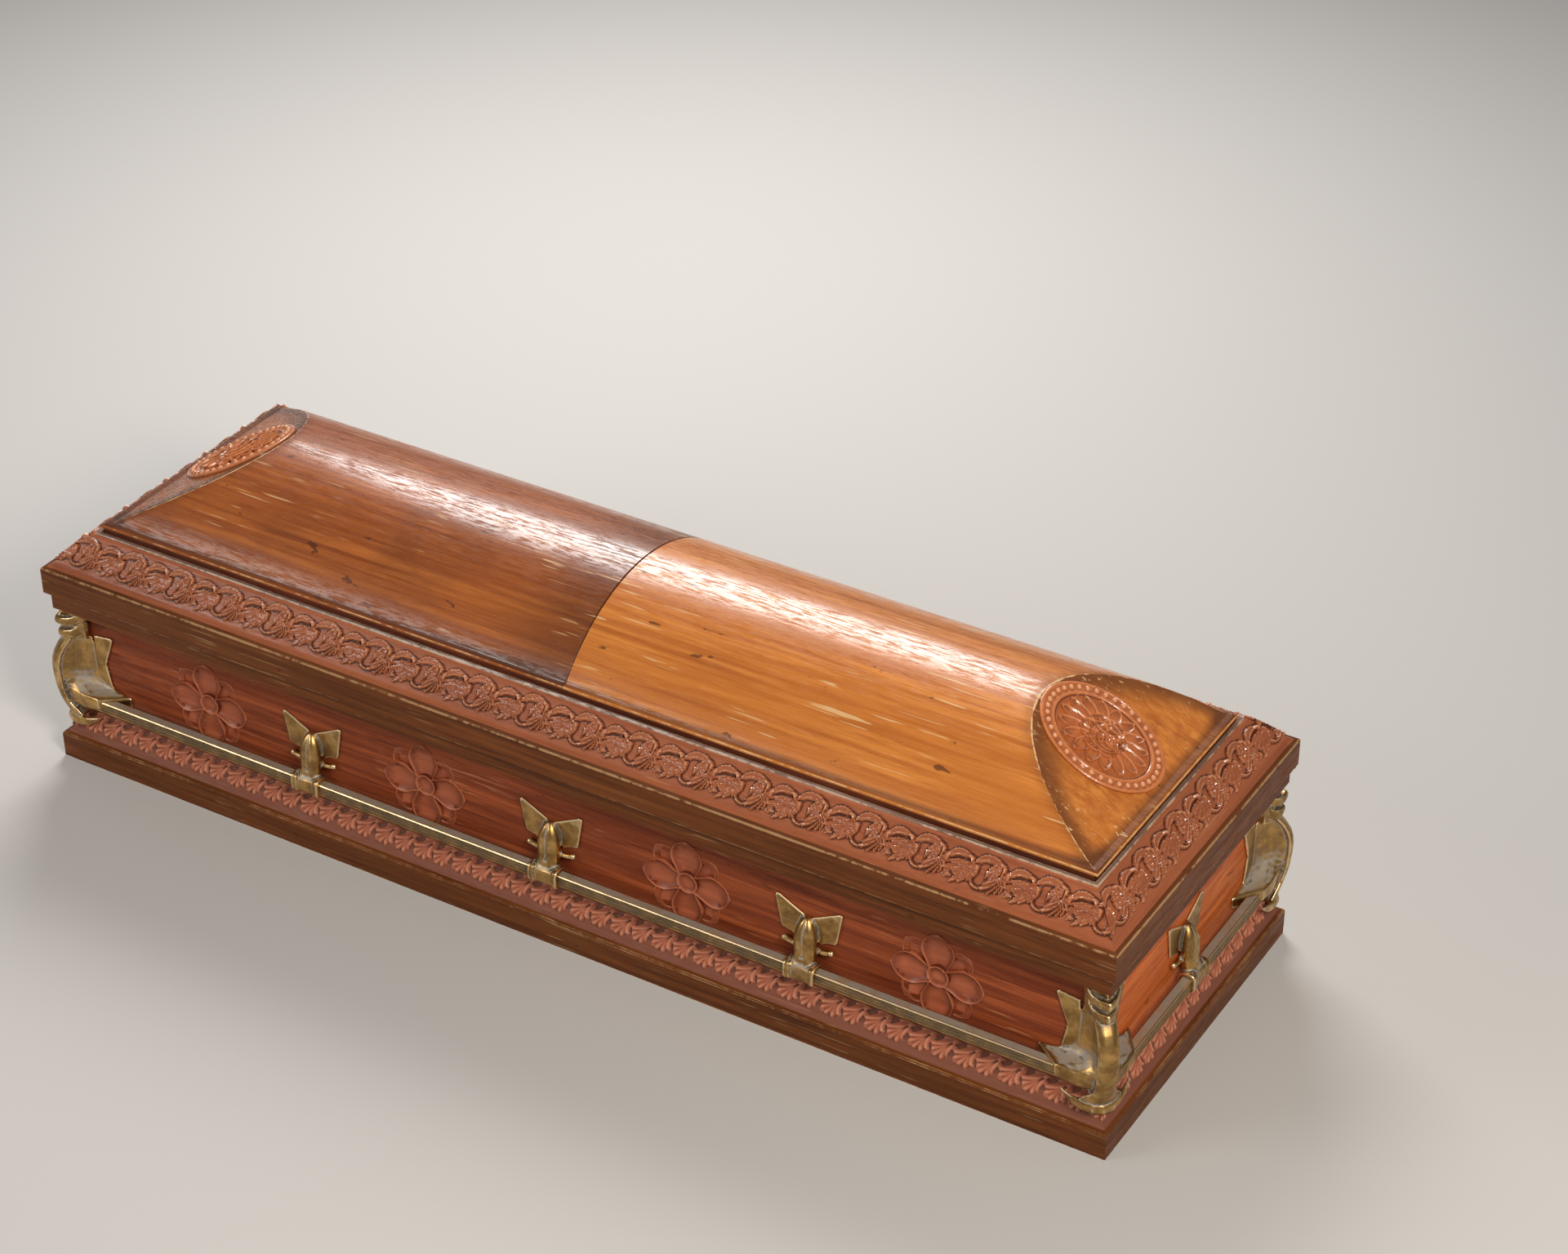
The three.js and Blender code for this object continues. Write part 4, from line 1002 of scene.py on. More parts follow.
# Painted highlight on the eye's rim, painted shade on its wall and in the dish.
set_float(eye, "relief", np.repeat([0.0, 0.1, 0.95, 0.8, 0.25, 0.3, 0.4, 0.42], 32))
with_finish(eye, ROSETTE)
for name, side in SIDES.items():
    low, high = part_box(f"panel_{name}")
    if name == "front":
        low.y = -HALF_WIDTH + PANEL_INSET
    board = with_finish(board_mesh(f"panel_board_{name}", low, high, 0.6 * MM), PANEL[side["grain"]])
    set_float(board, "relief", np.full(len(board.vertices), 0.5))
    parts = [(board, Matrix.Identity(4))]
    if name == "front":
        holder = object_from_mesh("panel with room", board)
        for a, b in ROOM_SIZES:
            cut_boxes(holder, [(Vector((x - a * MM, low.y - 0.01, ROSETTE_Z - b * MM)),
                                Vector((x + a * MM, low.y + 0.0115, ROSETTE_Z + b * MM))) for x in ROSETTE_X])
        parts = [(holder.data.copy(), Matrix.Identity(4))]
        bpy.data.objects.remove(holder)
        for x in ROSETTE_X:
            spot = Matrix.Translation((x, low.y, ROSETTE_Z)) @ Matrix.Rotation(math.radians(90), 4, "X")
            parts += [(small, spot), (big, spot), (eye, spot)]
    panel = join_meshes(f"panel_dressed_{name}", parts)
    hand_over(panel, "box", "panel_wood", f"panel_{name}")

# %% [markdown]
# ## The crown
# The crown is a barrel vault whose ends are cut by a sloping hip. Seen from above, every line across the
# vault has one height on the barrel and one on the hip, and the surface is the lower of the two. Each half is
# a thin shell on a narrow ledge, with a seam between the halves.


# %% Vault surface
CROWN_LOW, CROWN_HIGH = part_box("crown_right")
LEDGE = 7.5 * MM
FOOT_Z = CROWN_LOW.z + LEDGE
RISE = CROWN_HIGH.z - FOOT_Z
VAULT_HALF_WIDTH = 236 * MM
VAULT_HALF_LENGTH = 957 * MM
HIP_RUN = 210 * MM
HIP_SLOPE = math.atan2(RISE, HIP_RUN)
VAULT_RADIUS = (VAULT_HALF_WIDTH**2 + RISE**2) / (2 * RISE)
VAULT_CENTRE = FOOT_Z + RISE - VAULT_RADIUS
SEAM_ROWS = (0.0, 1.6, 3.2, 6.0)


def vault_grid(inset, low, seam, along=70, across=64, soft=1.2 * MM):
    """Points over one half of the vault drawn in by inset, from the seam at x = seam to the hip's foot."""
    reach = VAULT_RADIUS - inset
    widest = math.acos((low - VAULT_CENTRE) / reach)
    hip_foot = VAULT_HALF_LENGTH - inset / math.sin(HIP_SLOPE) - (low - FOOT_Z) / math.tan(HIP_SLOPE)
    grid = np.zeros((along + 1, across + 1, 3))
    barrel = int(along * 0.55)
    for j in range(across + 1):
        angle = widest * (2 * j / across - 1)
        y = reach * math.sin(angle)
        top = VAULT_CENTRE + reach * math.cos(angle)
        crease = hip_foot - (top - low) / math.tan(HIP_SLOPE)
        start = seam + np.array(SEAM_ROWS) * MM
        ahead = np.linspace(0, 1, barrel - len(start) + 2)[1:]
        after = np.linspace(0, 1, along - barrel + 1)[1:] ** 1.4
        x = np.concatenate([start, start[-1] + (crease - start[-1]) * (1 - (1 - ahead) ** 1.6),
                            crease + (hip_foot - crease) * after])
        hip = low + (hip_foot - x) * math.tan(HIP_SLOPE)
        blend = np.clip(0.5 + 0.5 * (hip - top) / (4 * soft), 0, 1)
        z = np.where(hip < top, hip, top) - soft * blend * (1 - blend) * 2
        grid[:, j] = np.stack([x, np.full_like(x, y), np.maximum(z, low)], -1)
    return grid


def shell_mesh(name, outer, inner, ledges):
    """Closes an outer and an inner grid into a shell, with ledge rings between them round the foot."""
    rows, columns = outer.shape[:2]
    points = np.concatenate([outer.reshape(-1, 3), inner.reshape(-1, 3)])
    shift = rows * columns
    at = lambda i, j: i * columns + j
    faces, _ = grid_faces(rows - 1, columns - 1)
    faces += [tuple(v + shift for v in reversed(f)) for f in faces]
    foot = ([(i, 0) for i in range(rows)] + [(rows - 1, j) for j in range(1, columns)]
            + [(i, columns - 1) for i in range(rows - 2, -1, -1)])
    chains = [[at(i, j) for i, j in foot]]
    extra = []
    for ring in ledges:
        chains.append([len(points) + len(extra) + k for k in range(len(foot))])
        for i, j in foot:
            x, y, _ = outer[i, j]
            side_x, side_y = i == rows - 1, j in (0, columns - 1)
            extra.append((ring[0] if side_x else x, math.copysign(ring[1], y) if side_y else y, ring[2]))
    chains.append([at(i, j) + shift for i, j in foot])
    for a, b in zip(chains, chains[1:]):
        faces += [(a[k], b[k], b[k + 1], a[k + 1]) for k in range(len(foot) - 1)]
    for k in (0, -1):
        faces.append(tuple(chain[k] for chain in chains))
    faces += [(at(0, j), at(0, j + 1), at(0, j + 1) + shift, at(0, j) + shift) for j in range(columns - 1)]
    points = np.concatenate([points, np.array(extra).reshape(-1, 3)]) if extra else points
    return tidy_normals(mesh_from_lists(name, points, faces), 24)


# %% Crown halves
SEAM = 0.3 * MM
SHELL = 16 * MM
LEDGE_X, LEDGE_Y = CROWN_HIGH.x, CROWN_HIGH.y


def crown_wear(mesh, stain=0.0):
    """Rubbed along the seam, hips and ledge; darker beside the hips and in the seam; stained near it."""
    at = points_of(mesh)
    top = VAULT_CENTRE + np.sqrt(np.clip(VAULT_RADIUS**2 - at[:, 1] ** 2, 0, None))
    hip = FOOT_Z + (VAULT_HALF_LENGTH - np.abs(at[:, 0])) * math.tan(HIP_SLOPE)
    from_seam = (np.abs(at[:, 0]) - SEAM) / MM
    on_ledge = (np.abs(at[:, 0]) > LEDGE_X - 0.6 * MM) | (np.abs(at[:, 1]) > LEDGE_Y - 0.6 * MM)
    wear = 1.25 * np.exp(-((top - hip) / (1.7 * MM)) ** 2) + 0.95 * np.exp(-((from_seam - 2.2) / 1.2) ** 2)
    wear = np.maximum(wear, 1.1 * on_ledge)
    wear[at[:, 2] < FOOT_Z - 4.4 * MM] = 0
    set_float(mesh, "wear", np.clip(wear, 0, 1.25))
    reach = np.where(top > hip, 34 * MM, 14 * MM)
    relief = 0.5 - np.where(top > hip, 0.34, 0.2) * np.exp(-((top - hip) / reach) ** 2)
    relief -= 0.3 * np.exp(-((at[:, 2] - FOOT_Z) / (6 * MM)) ** 2) + stain * np.exp(-((from_seam / 190) ** 2))
    relief = np.where(from_seam < 0.8, 0.0, relief)
    set_float(mesh, "relief", np.where(on_ledge, 0.5, relief))


def make_crown():
    outer = vault_grid(0.0, FOOT_Z, SEAM)
    inner = vault_grid(SHELL, CROWN_LOW.z, SEAM)
    outer[0, :, 2] -= 2.2 * MM
    rings = [(LEDGE_X - edge * MM, LEDGE_Y - edge * MM, FOOT_Z - drop * MM) for edge, drop in (
        (4.5, 0.6), (2, 2), (0.4, 3), (0, 4.2), (0, 6.5))] + [(LEDGE_X, LEDGE_Y, CROWN_LOW.z)]
    right = shell_mesh("crown half", outer, inner, rings)
    crown_wear(right)
    left = right.copy()
    crown_wear(left, stain=0.26)
    left.transform(about_z(180))
    for name, mesh in (("right", right), ("left", left)):
        obj = object_from_mesh(f"crown_shell_{name}", with_finish(mesh, CROWN[name]))
        hand_over(obj, "lid", "crown_wood", f"crown_{name}")


make_crown()


# %% [markdown]
# Cloth needs a map of its threads, so each linen piece gets a UV map measured in metres: the two directions
# that lie in each face. The vault's cloth is a thin shell inside the crown, split by an arched batten at the
# seam.


# %% Linen map, vault lining and batten
def map_cloth(mesh):
    """UV in metres: the two axes that lie most in each face."""
    layer = mesh.uv_layers.get("UVMap") or mesh.uv_layers.new(name="UVMap")
    for polygon in mesh.polygons:
        normal = [abs(c) for c in polygon.normal]
        drop = normal.index(max(normal))
        keep = [k for k in (0, 1, 2) if k != drop]
        for loop in polygon.loop_indices:
            point = mesh.vertices[mesh.loops[loop].vertex_index].co
            layer.data[loop].uv = (point[keep[0]], point[keep[1]])


CLOTH_GAP = 0.3 * MM
CLOTH = 4 * MM
BATTEN_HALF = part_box("lid_divider")[1].x


def make_vault_lining():
    outer = vault_grid(SHELL + CLOTH_GAP, CROWN_LOW.z, BATTEN_HALF + CLOTH_GAP)
    inner = vault_grid(SHELL + CLOTH_GAP + CLOTH, CROWN_LOW.z, BATTEN_HALF + CLOTH_GAP)
    right = shell_mesh("vault cloth", outer, inner, [])
    map_cloth(right)
    left = right.copy()
    left.transform(about_z(180))
    for name, mesh in (("right", right), ("left", left)):
        obj = object_from_mesh(f"vault_linen_{name}", with_finish(mesh, LINEN))
        hand_over(obj, "lid", "linen", f"lid_lining_{name}")


def make_batten():
    """An arch of square section under the seam."""
    deep = 18 * MM
    outer, inner = VAULT_RADIUS - SHELL - CLOTH_GAP, VAULT_RADIUS - SHELL - CLOTH_GAP - deep
    points, faces = [], []
    steps = 40
    for k in range(steps + 1):
        for radius, side in ((outer, 1), (outer, -1), (inner, -1), (inner, 1)):
            widest = math.acos((CROWN_LOW.z - VAULT_CENTRE) / radius)
            angle = widest * (2 * k / steps - 1)
            points.append((side * BATTEN_HALF, radius * math.sin(angle),
                           VAULT_CENTRE + radius * math.cos(angle)))
    for k in range(steps):
        faces += [(4 * k + a, 4 * k + (a + 1) % 4, 4 * k + 4 + (a + 1) % 4, 4 * k + 4 + a) for a in range(4)]
    faces += [(0, 1, 2, 3), tuple(4 * steps + a for a in range(4))]
    mesh = with_finish(tidy_normals(mesh_from_lists("batten", points, faces), 30), INSIDE["across"])
    hand_over(object_from_mesh("vault_batten", mesh), "lid", "edge_wood", "lid_divider")


make_vault_lining()
make_batten()

# %% [markdown]
# ## Medallions
# On each hip sits an oval plate: a flat border with a row of beads, a sunk field with a ring of narrow
# petals, and an open flower in the middle. The plate is a turned shape narrowed across, and beads and petals
# are ring copies.


# %% Medallion
OVAL_LONG, OVAL_WIDE = 114 * MM, 95 * MM
OVAL_RATIO = OVAL_WIDE / OVAL_LONG
OVAL_UP = 121 * MM
BEADS, BEAD_RING = 38, 0.885
RAYS = 16


def bead_mesh(radius):
    bm = bmesh.new()
    bmesh.ops.create_uvsphere(bm, u_segments=10, v_segments=6, radius=radius)
    return mesh_from_bm("bead", bm)


def flower_parts(finish):
    """Rings of broad petals, each smaller, higher and further down the slope, round a coiled bud."""
    parts = []
    for count, tip, width, rise, start, down, side in ((6, 42, 20, 6.5, 0.3, 0, 0),
                                                       (5, 31, 16, 8.5, 0.9, 5, 2),
                                                       (4, 21, 12, 10.5, 0.2, 12, 5)):
        petal = petal_mesh("flower petal", tip * MM, width * MM, rise * MM, 0.12, base=0.5, shade=0.2,
                           rows=12, across=10)
        ring = ring_mesh(petal, count, start, 0.0, 0.0, finish)
        ring.transform(Matrix.Translation((-down * MM, side * MM, 0)))
        parts.append(ring)
    bud = turned_mesh("bud", [(r * MM, h * MM) for r, h in (
        (11, 0), (11, 10), (9.8, 11.6), (8.6, 10.2), (7.4, 9.6), (6.4, 11.4), (5.2, 12), (4.2, 10.6),
        (3, 10.4), (1.6, 11.6), (0.4, 11.8))], 24)
    # Painted highlights on the coil's ridges, painted shade in its grooves.
    set_float(bud, "relief", np.repeat([0.3, 0.55, 0.75, 0.3, 0.2, 0.6, 0.75, 0.3, 0.25, 0.6, 0.7], 24))
    bud.transform(Matrix.Translation((-17 * MM, 7 * MM, 0)))
    return parts + [with_finish(bud, finish)]


def make_medallions():
    plate = turned_mesh("plate", [(r * OVAL_LONG, h * MM) for r, h in (
        (1.0, 0.0), (1.0, 3.2), (0.985, 4.6), (0.955, 4.8), (0.94, 3.6), (0.83, 3.6), (0.815, 4.8),
        (0.785, 4.8), (0.77, 4.2), (0.755, 1.8), (0.74, 1.4), (0.3, 2.4), (0.02, 2.8))], 96, OVAL_RATIO)
    # Painted highlights on the plate's raised rims, painted shade in its grooves and at the step to the
    # field.
    set_float(plate, "relief",
              np.repeat([0.2, 0.4, 0.75, 0.6, 0.3, 0.3, 0.6, 0.8, 0.5, 0.05, 0.3, 0.4, 0.4], 96))
    parts = [with_finish(plate, MEDALLION)]
    beads = ring_mesh(bead_mesh(4.4 * MM), BEADS, 0.0, OVAL_LONG * BEAD_RING, OVAL_WIDE * BEAD_RING,
                      MEDALLION)
    beads.transform(Matrix.Translation((0, 0, 4.0 * MM)))
    # A painted highlight on every bead.
    set_float(beads, "relief", np.full(len(beads.vertices), 0.9))
    parts.append(beads)
    ray_petal = petal_mesh("ray petal", 81 * MM, 12 * MM, 5.8 * MM, 0.1, shade=0.22, rows=14, across=8)
    rays = ring_mesh(ray_petal, RAYS, 0.1, 0.0, 0.0, MEDALLION)
    rays.transform(Matrix.Diagonal((1.0, OVAL_RATIO, 1.0, 1.0)) @ Matrix.Translation((0, 0, 1.6 * MM)))
    parts.append(rays)
    for part in flower_parts(MEDALLION):
        part.transform(Matrix.Translation((0, 0, 2.4 * MM)))
        parts.append(part)
    out = Vector((math.sin(HIP_SLOPE), 0, math.cos(HIP_SLOPE)))
    up = Vector((-math.cos(HIP_SLOPE), 0, math.sin(HIP_SLOPE)))
    foot = Vector((VAULT_HALF_LENGTH, 0, FOOT_Z))
    place = Matrix.Translation(foot + up * OVAL_UP + out * 0.3 * MM) @ Matrix(
        (up, out.cross(up), out)).transposed().to_4x4()
    for name, turn in (("right", 0), ("left", 180)):
        matrix = about_z(turn) @ place
        obj = join_meshes(f"medallion_carved_{name}", [(part, matrix) for part in parts])
        hand_over(obj, "lid", "carved_wood", f"medallion_{name}")


make_medallions()

# %% [markdown]
# ## Brass
# Each bar has two reeds between three grooves on its outer face. Brackets and corners are castings: each is
# built from a few overlapping solids, then remeshed into one skin and eased, which gives the soft edges of a
# casting. Rubbed places come from the mesh itself: where the skin bulges, it is polished.


# %% Helpers for castings
def add_loft(bm, rings):
    """Adds a closed solid through rings of equal length."""
    loops = [[bm.verts.new(p) for p in ring] for ring in rings]
    for a, b in zip(loops, loops[1:]):
        for (p, q), (r, s) in zip(neighbours(a), neighbours(b)):
            bm.faces.new((p, q, s, r))
    bm.faces.new(list(reversed(loops[0])))
    bm.faces.new(loops[-1])


CAST_VOXEL = 1.7 * MM
CAST_EASE = 2
KEPT_SHARE = 0.3


def cast_mesh(name, bm):
    """One eased skin round all the solids in bm, with fewer faces where it is flat."""
    bmesh.ops.triangulate(bm, faces=bm.faces)
    bmesh.ops.recalc_face_normals(bm, faces=bm.faces)
    obj = object_from_mesh(name, mesh_from_bm(name, bm))
    add_modifier(obj, "skin", "REMESH", mode="VOXEL", voxel_size=CAST_VOXEL)
    add_modifier(obj, "ease", "SMOOTH", factor=0.5, iterations=CAST_EASE)
    apply_modifiers(obj)
    rub_bulges(obj.data)
    add_modifier(obj, "fewer", "DECIMATE", ratio=KEPT_SHARE)
    result = evaluated_copy(obj)
    bpy.data.objects.remove(obj)
    return with_finish(smooth_shade(result), BRASS)


def rub_bulges(mesh, gain=1.6):
    """Sets wear where a point stands out from its neighbours."""
    count = len(mesh.vertices)
    at = points_of(mesh).astype(float)
    normal = np.zeros(count * 3)
    mesh.vertices.foreach_get("normal", normal)
    normal = normal.reshape(-1, 3)
    edges = np.zeros(len(mesh.edges) * 2, int)
    mesh.edges.foreach_get("vertices", edges)
    edges = edges.reshape(-1, 2)
    both = np.concatenate([edges, edges[:, ::-1]])
    value = None
    for _ in range(3):
        source = at if value is None else value[:, None]
        total = np.zeros((count, source.shape[1]))
        np.add.at(total, both[:, 0], source[both[:, 1]])
        links = np.bincount(both[:, 0], minlength=count)[:, None].clip(1)
        mean = total / links
        if value is None:
            step = np.linalg.norm(at[edges[:, 0]] - at[edges[:, 1]], axis=1).mean()
            value = ((at - mean) * normal).sum(1) / step
        else:
            value = 0.5 * value + 0.5 * mean[:, 0]
    set_float(mesh, "wear", np.clip(value * gain * 4 + 0.44 - 0.26 * np.clip(normal[:, 2], 0, 1), 0, 1))


def ring_of(centre, axis_a, axis_b, radius_a, radius_b, count, power=2.0):
    """A rounded ring: power 2 is an ellipse, higher powers are squarer."""
    points = []
    for k in range(count):
        c, s = math.cos(math.tau * k / count), math.sin(math.tau * k / count)
        a = math.copysign(abs(c) ** (2 / power), c) * radius_a
        b = math.copysign(abs(s) ** (2 / power), s) * radius_b
        points.append(Vector(centre) + Vector(axis_a) * a + Vector(axis_b) * b)
    return points


# %% Bars
BAR_LOW, BAR_HIGH = 123 * MM, 145 * MM
BAR_NEAR, BAR_FAR = 16 * MM, 34 * MM


def bar_section():
    """Outwards, up and wear: flat dull top, bright front edge, two reeds between dark grooves."""
    points = [(BAR_NEAR, BAR_LOW, 0.3), (BAR_NEAR, BAR_HIGH - 1 * MM, 0.3),
              (BAR_NEAR + 1 * MM, BAR_HIGH, 0.5), (BAR_NEAR + 2.5 * MM, BAR_HIGH, 0.16),
              (BAR_FAR - 3 * MM, BAR_HIGH, 0.16)]
    front = ((1.4, 0, 0.95), (0, 1.4, 0.95), (0, 2.8, 0.5), (2.8, 3.4, 0), (2.8, 6.2, 0), (0.5, 6.8, 0.5),
             (0.3, 7.7, 0.7), (0.5, 8.6, 0.5), (2.8, 9.2, 0), (2.8, 12, 0), (0.5, 12.6, 0.5),
             (0.3, 13.5, 0.7), (0.5, 14.4, 0.5), (2.8, 15, 0), (2.8, 17.2, 0), (0, 17.8, 0.5), (0, 20.6, 0.7),
             (1.4, 22, 0.6))
    return points + [(BAR_FAR - back * MM, BAR_HIGH - down * MM, wear) for back, down, wear in front]


def make_bars():
    section = bar_section()
    for name, side in SIDES.items():
        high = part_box(f"bar_{name}")[1]
        half = high.x if name in ("front", "back") else high.y
        face = side["depth"] - PANEL_INSET
        rings = [[(x, -(face + out), up) for out, up, _ in section] for x in np.linspace(-half, half, 40)]
        bm = bmesh.new()
        add_loft(bm, rings)
        bmesh.ops.recalc_face_normals(bm, faces=bm.faces)
        mesh = mesh_from_bm("bar", bm, 35)
        set_float(mesh, "wear", np.tile([wear for _, _, wear in section], len(rings)))
        mesh.transform(side["turn"])
        obj = object_from_mesh(f"bar_reeded_{name}", with_finish(mesh, BRASS))
        hand_over(obj, "box", "brass", f"bar_{name}")


make_bars()


# %% Brackets
ALONG, INTO, OUT, UP = (1, 0, 0), (0, 1, 0), (0, -1, 0), (0, 0, 1)


def add_plate(bm, outline, near, far):
    """A flat plate on the panel from points of (along, up)."""
    add_loft(bm, [[(a, -out, z) for a, z in outline] for out in (near, far)])


def add_ball(bm, centre, radius):
    made = bmesh.ops.create_uvsphere(bm, u_segments=14, v_segments=10, radius=radius)
    bmesh.ops.translate(bm, verts=made["verts"], vec=Vector(centre))


def bracket_mesh():
    bm = bmesh.new()
    for sign in (1, -1):
        wing = [(4, 200), (4, 226), (10, 230), (57, 254), (62, 252), (62, 247), (52, 193), (49, 190),
                (34, 187), (22, 180)]
        add_plate(bm, [(sign * a * MM, z * MM) for a, z in wing], 0.4 * MM, 4.4 * MM)
        add_ball(bm, (sign * 43 * MM, -6.5 * MM, 173 * MM), 5.6 * MM)
        rod = [(sign * 14 * MM, 7, 170), (sign * 26 * MM, 6.5, 169), (sign * 36 * MM, 6.5, 171),
               (sign * 43 * MM, 6.5, 173)]
        add_loft(bm, [ring_of((x, -o * MM, z * MM), INTO, UP, 5.0 * MM, 5.0 * MM, 10) for x, o, z in rod])
    pod = [(150, 20, 8, 33), (156, 20, 3, 30), (164, 20, 1, 28), (176, 21, 0.6, 28), (190, 20.6, 0.6, 27.5),
           (204, 18.6, 0.6, 25.5), (214, 15.2, 0.6, 22.5), (222, 11, 0.6, 18), (227, 7, 1.5, 13.5),
           (230, 3, 3, 9.5)]
    rings = []
    for z, wide, near, far in pod:
        ring = []
        for k in range(28):
            angle = math.tau * k / 28
            away = min(angle, math.tau - angle)
            groove = 1 - 0.2 * math.exp(-((away / 0.2) ** 2)) + 0.05 * math.exp(-(((away - 0.6) / 0.3) ** 2))
            out = (near + far) / 2 + math.cos(angle) * groove * (far - near) / 2
            ring.append((math.sin(angle) * wide * MM, -out * MM, z * MM))
        rings.append(ring)
    add_loft(bm, rings)
    ribs = [(-28.5, 0.93), (-27, 1.0), (-23, 1.0), (-21.5, 0.9), (-19.5, 0.98), (-16.5, 0.98), (-14.5, 0.87),
            (12, 0.86), (17, 0.88), (20, 0.97), (23, 1.0), (27, 1.0), (28.5, 0.93)]
    sleeve = (-24.6 * MM, 134 * MM)
    add_loft(bm, [ring_of((x * MM, *sleeve), OUT, UP, 15.8 * size * MM, 18.4 * size * MM, 24, 3.4)
                  for x, size in ribs])
    arm = [(150, 20, 20, 12), (156, 18, 16, 14), (163, 17, 13, 13)]
    add_loft(bm, [ring_of((0, -out * MM, z * MM), ALONG, OUT, wide * MM, deep * MM, 20, 2.6)
                  for z, wide, out, deep in arm])
    return cast_mesh("bracket casting", bm)


def make_brackets():
    step = 0.495
    casting = bracket_mesh()
    for name, side in SIDES.items():
        places = {1: -step, 2: 0.0, 3: step} if name in ("front", "back") else {None: 0.0}
        for number, along in places.items():
            node = f"bracket_{name}" if number is None else f"bracket_{name}_{number}"
            mesh = casting.copy()
            mesh.transform(side["turn"]
                           @ Matrix.Translation((along, PANEL_INSET - side["depth"], 0)))
            hand_over(object_from_mesh(f"{node}_cast", mesh), "box", "brass", node)


make_brackets()


# %% [markdown]
# A corner casting wraps the upright corner of the box: a half-round strap bows out along the diagonal, thin
# webs run back to a shaped plate on each panel and spread below into a pointed shelf that holds the bar's
# end. Two collars close it under the rim and a crescent hangs at its foot. It is drawn on one side and
# mirrored over the diagonal.


# %% Corners
DIAGONAL = 0.707
SLANT = (DIAGONAL, -DIAGONAL, 0)


def mirrored_path(side):
    """One side's plan points, then the same points over the diagonal."""
    return side + [(b, a) for a, b in reversed(side)]


def corner_web_ring(out, along, spread, height):
    across_diagonal = lambda across, ahead: (out + (ahead - across) * DIAGONAL,
                                             out + (ahead + across) * DIAGONAL)
    flare = 1 - smooth_step(96, 128, height)
    half = 17.5 + 17 * flare
    edge = across_diagonal(half * 0.7, -6.0 - 7 * flare)
    web = [(-along, 0.4), (-along, 3.4)]
    for t in (0.2, 0.4, 0.6, 0.8):
        web.append(tuple((1 - t) ** 2 * p + 2 * t * (1 - t) * c + t * t * e
                         for p, c, e in zip((-along, 3.4), (4, 9), edge)))
    shelf = [(-104, 0.4), (-103, 2.5), (-88, 13), (-70, 26), (-55, 37.5), (-22, 39)]
    side = [tuple(w + (s - w) * spread for w, s in zip(a, b)) for a, b in zip(web, shelf)]
    side += [edge, across_diagonal(half * 0.88, -4.0 - 10 * flare)]
    for turn in (0.0, 0.2, 0.42, 0.68, 0.96, 1.26):
        across = math.cos(turn)
        side.append(across_diagonal(half * across, -2.0 + 11.5 * math.sin(turn) - 13 * flare * across**2))
    ring = [(0.4, 0.4)] + mirrored_path(side)
    return [(a * MM, -b * MM, height * MM) for a, b in ring]


def corner_mesh():
    bm = bmesh.new()
    levels = [(92, 17, 14, 0.0), (104, 21.5, 22, 0.02), (113, 24, 28, 0.1), (117, 25.5, 32, 0.55),
              (124, 27, 38, 0.86), (132, 29, 42, 1.0), (148, 31.5, 46, 1.0), (151, 32, 46, 0.95),
              (153, 32.2, 45, 0.72), (157, 32.6, 43, 0.45), (163, 33, 41, 0.22), (172, 33.6, 38, 0.06),
              (182, 34.2, 36.5, 0.0), (196, 34.3, 35, 0.0), (210, 33.2, 34, 0.0), (224, 30, 33, 0.0),
              (238, 24.5, 31, 0.0), (248, 19, 29, 0.0), (256, 15, 27, 0.0)]
    add_loft(bm, [corner_web_ring(out, along, spread, z) for z, out, along, spread in levels])
    for flip in (False, True):
        plan = lambda a, b: (b * MM, -a * MM) if flip else (a * MM, -b * MM)
        plate = [(-33, 262), (-70, 267), (-75, 264), (-74, 260), (-54, 208), (-54, 204), (-64, 153),
                 (-58, 150), (-33, 168)]
        add_loft(bm, [[(*plan(a, out), z * MM) for a, z in plate] for out in (0.4, 4.4)])
        fork = [(-47, 33, 106, 2.0), (-38, 35, 100, 5), (-26, 36.5, 94, 8), (-10, 36, 90, 9.5),
                (8, 33, 87, 10.5), (23, 23, 85.5, 11.5)]
        add_loft(bm, [ring_of((*plan(a, b), z * MM), SLANT, UP, r * 0.75 * MM, r * MM, 14)
                      for a, b, z, r in fork])
        for base, lift, reach in ((290, 20, 1.0), (263, 22, 0.92)):
            band = [(-24, 12, 1.0, 11), (-17, 20, 0.72, 9.5), (-6, 26, 0.3, 9), (10, 29, 0.08, 8.5),
                    (26, 26, 0.0, 8.5)]
            add_loft(bm, [ring_of((*plan(a * reach, b * reach), (base + lift * up * 0.8) * MM), SLANT, UP,
                                  6.5 * MM, tall * MM, 14, 2.6) for a, b, up, tall in band])
        heel = ((0.4, 0.4), (-23, 0.4), (-22, 14), (-6, 22), (20, 20), (0.5, 0.5))
        add_loft(bm, [[(*plan(a, b), z * MM) for a, b in heel] for z in (254, 308)])
    return cast_mesh("corner casting", bm)


def make_corners():
    casting = corner_mesh()
    x, y = HALF_LENGTH - PANEL_INSET, HALF_WIDTH - PANEL_INSET
    spots = {"front_right": (x, -y), "back_right": (x, y), "back_left": (-x, y), "front_left": (-x, -y)}
    for k, (name, (px, py)) in enumerate(spots.items()):
        mesh = casting.copy()
        mesh.transform(Matrix.Translation((px, py, 0)) @ about_z(90 * k))
        hand_over(object_from_mesh(f"corner_{name}_cast", mesh), "box", "brass", f"corner_{name}")


make_corners()

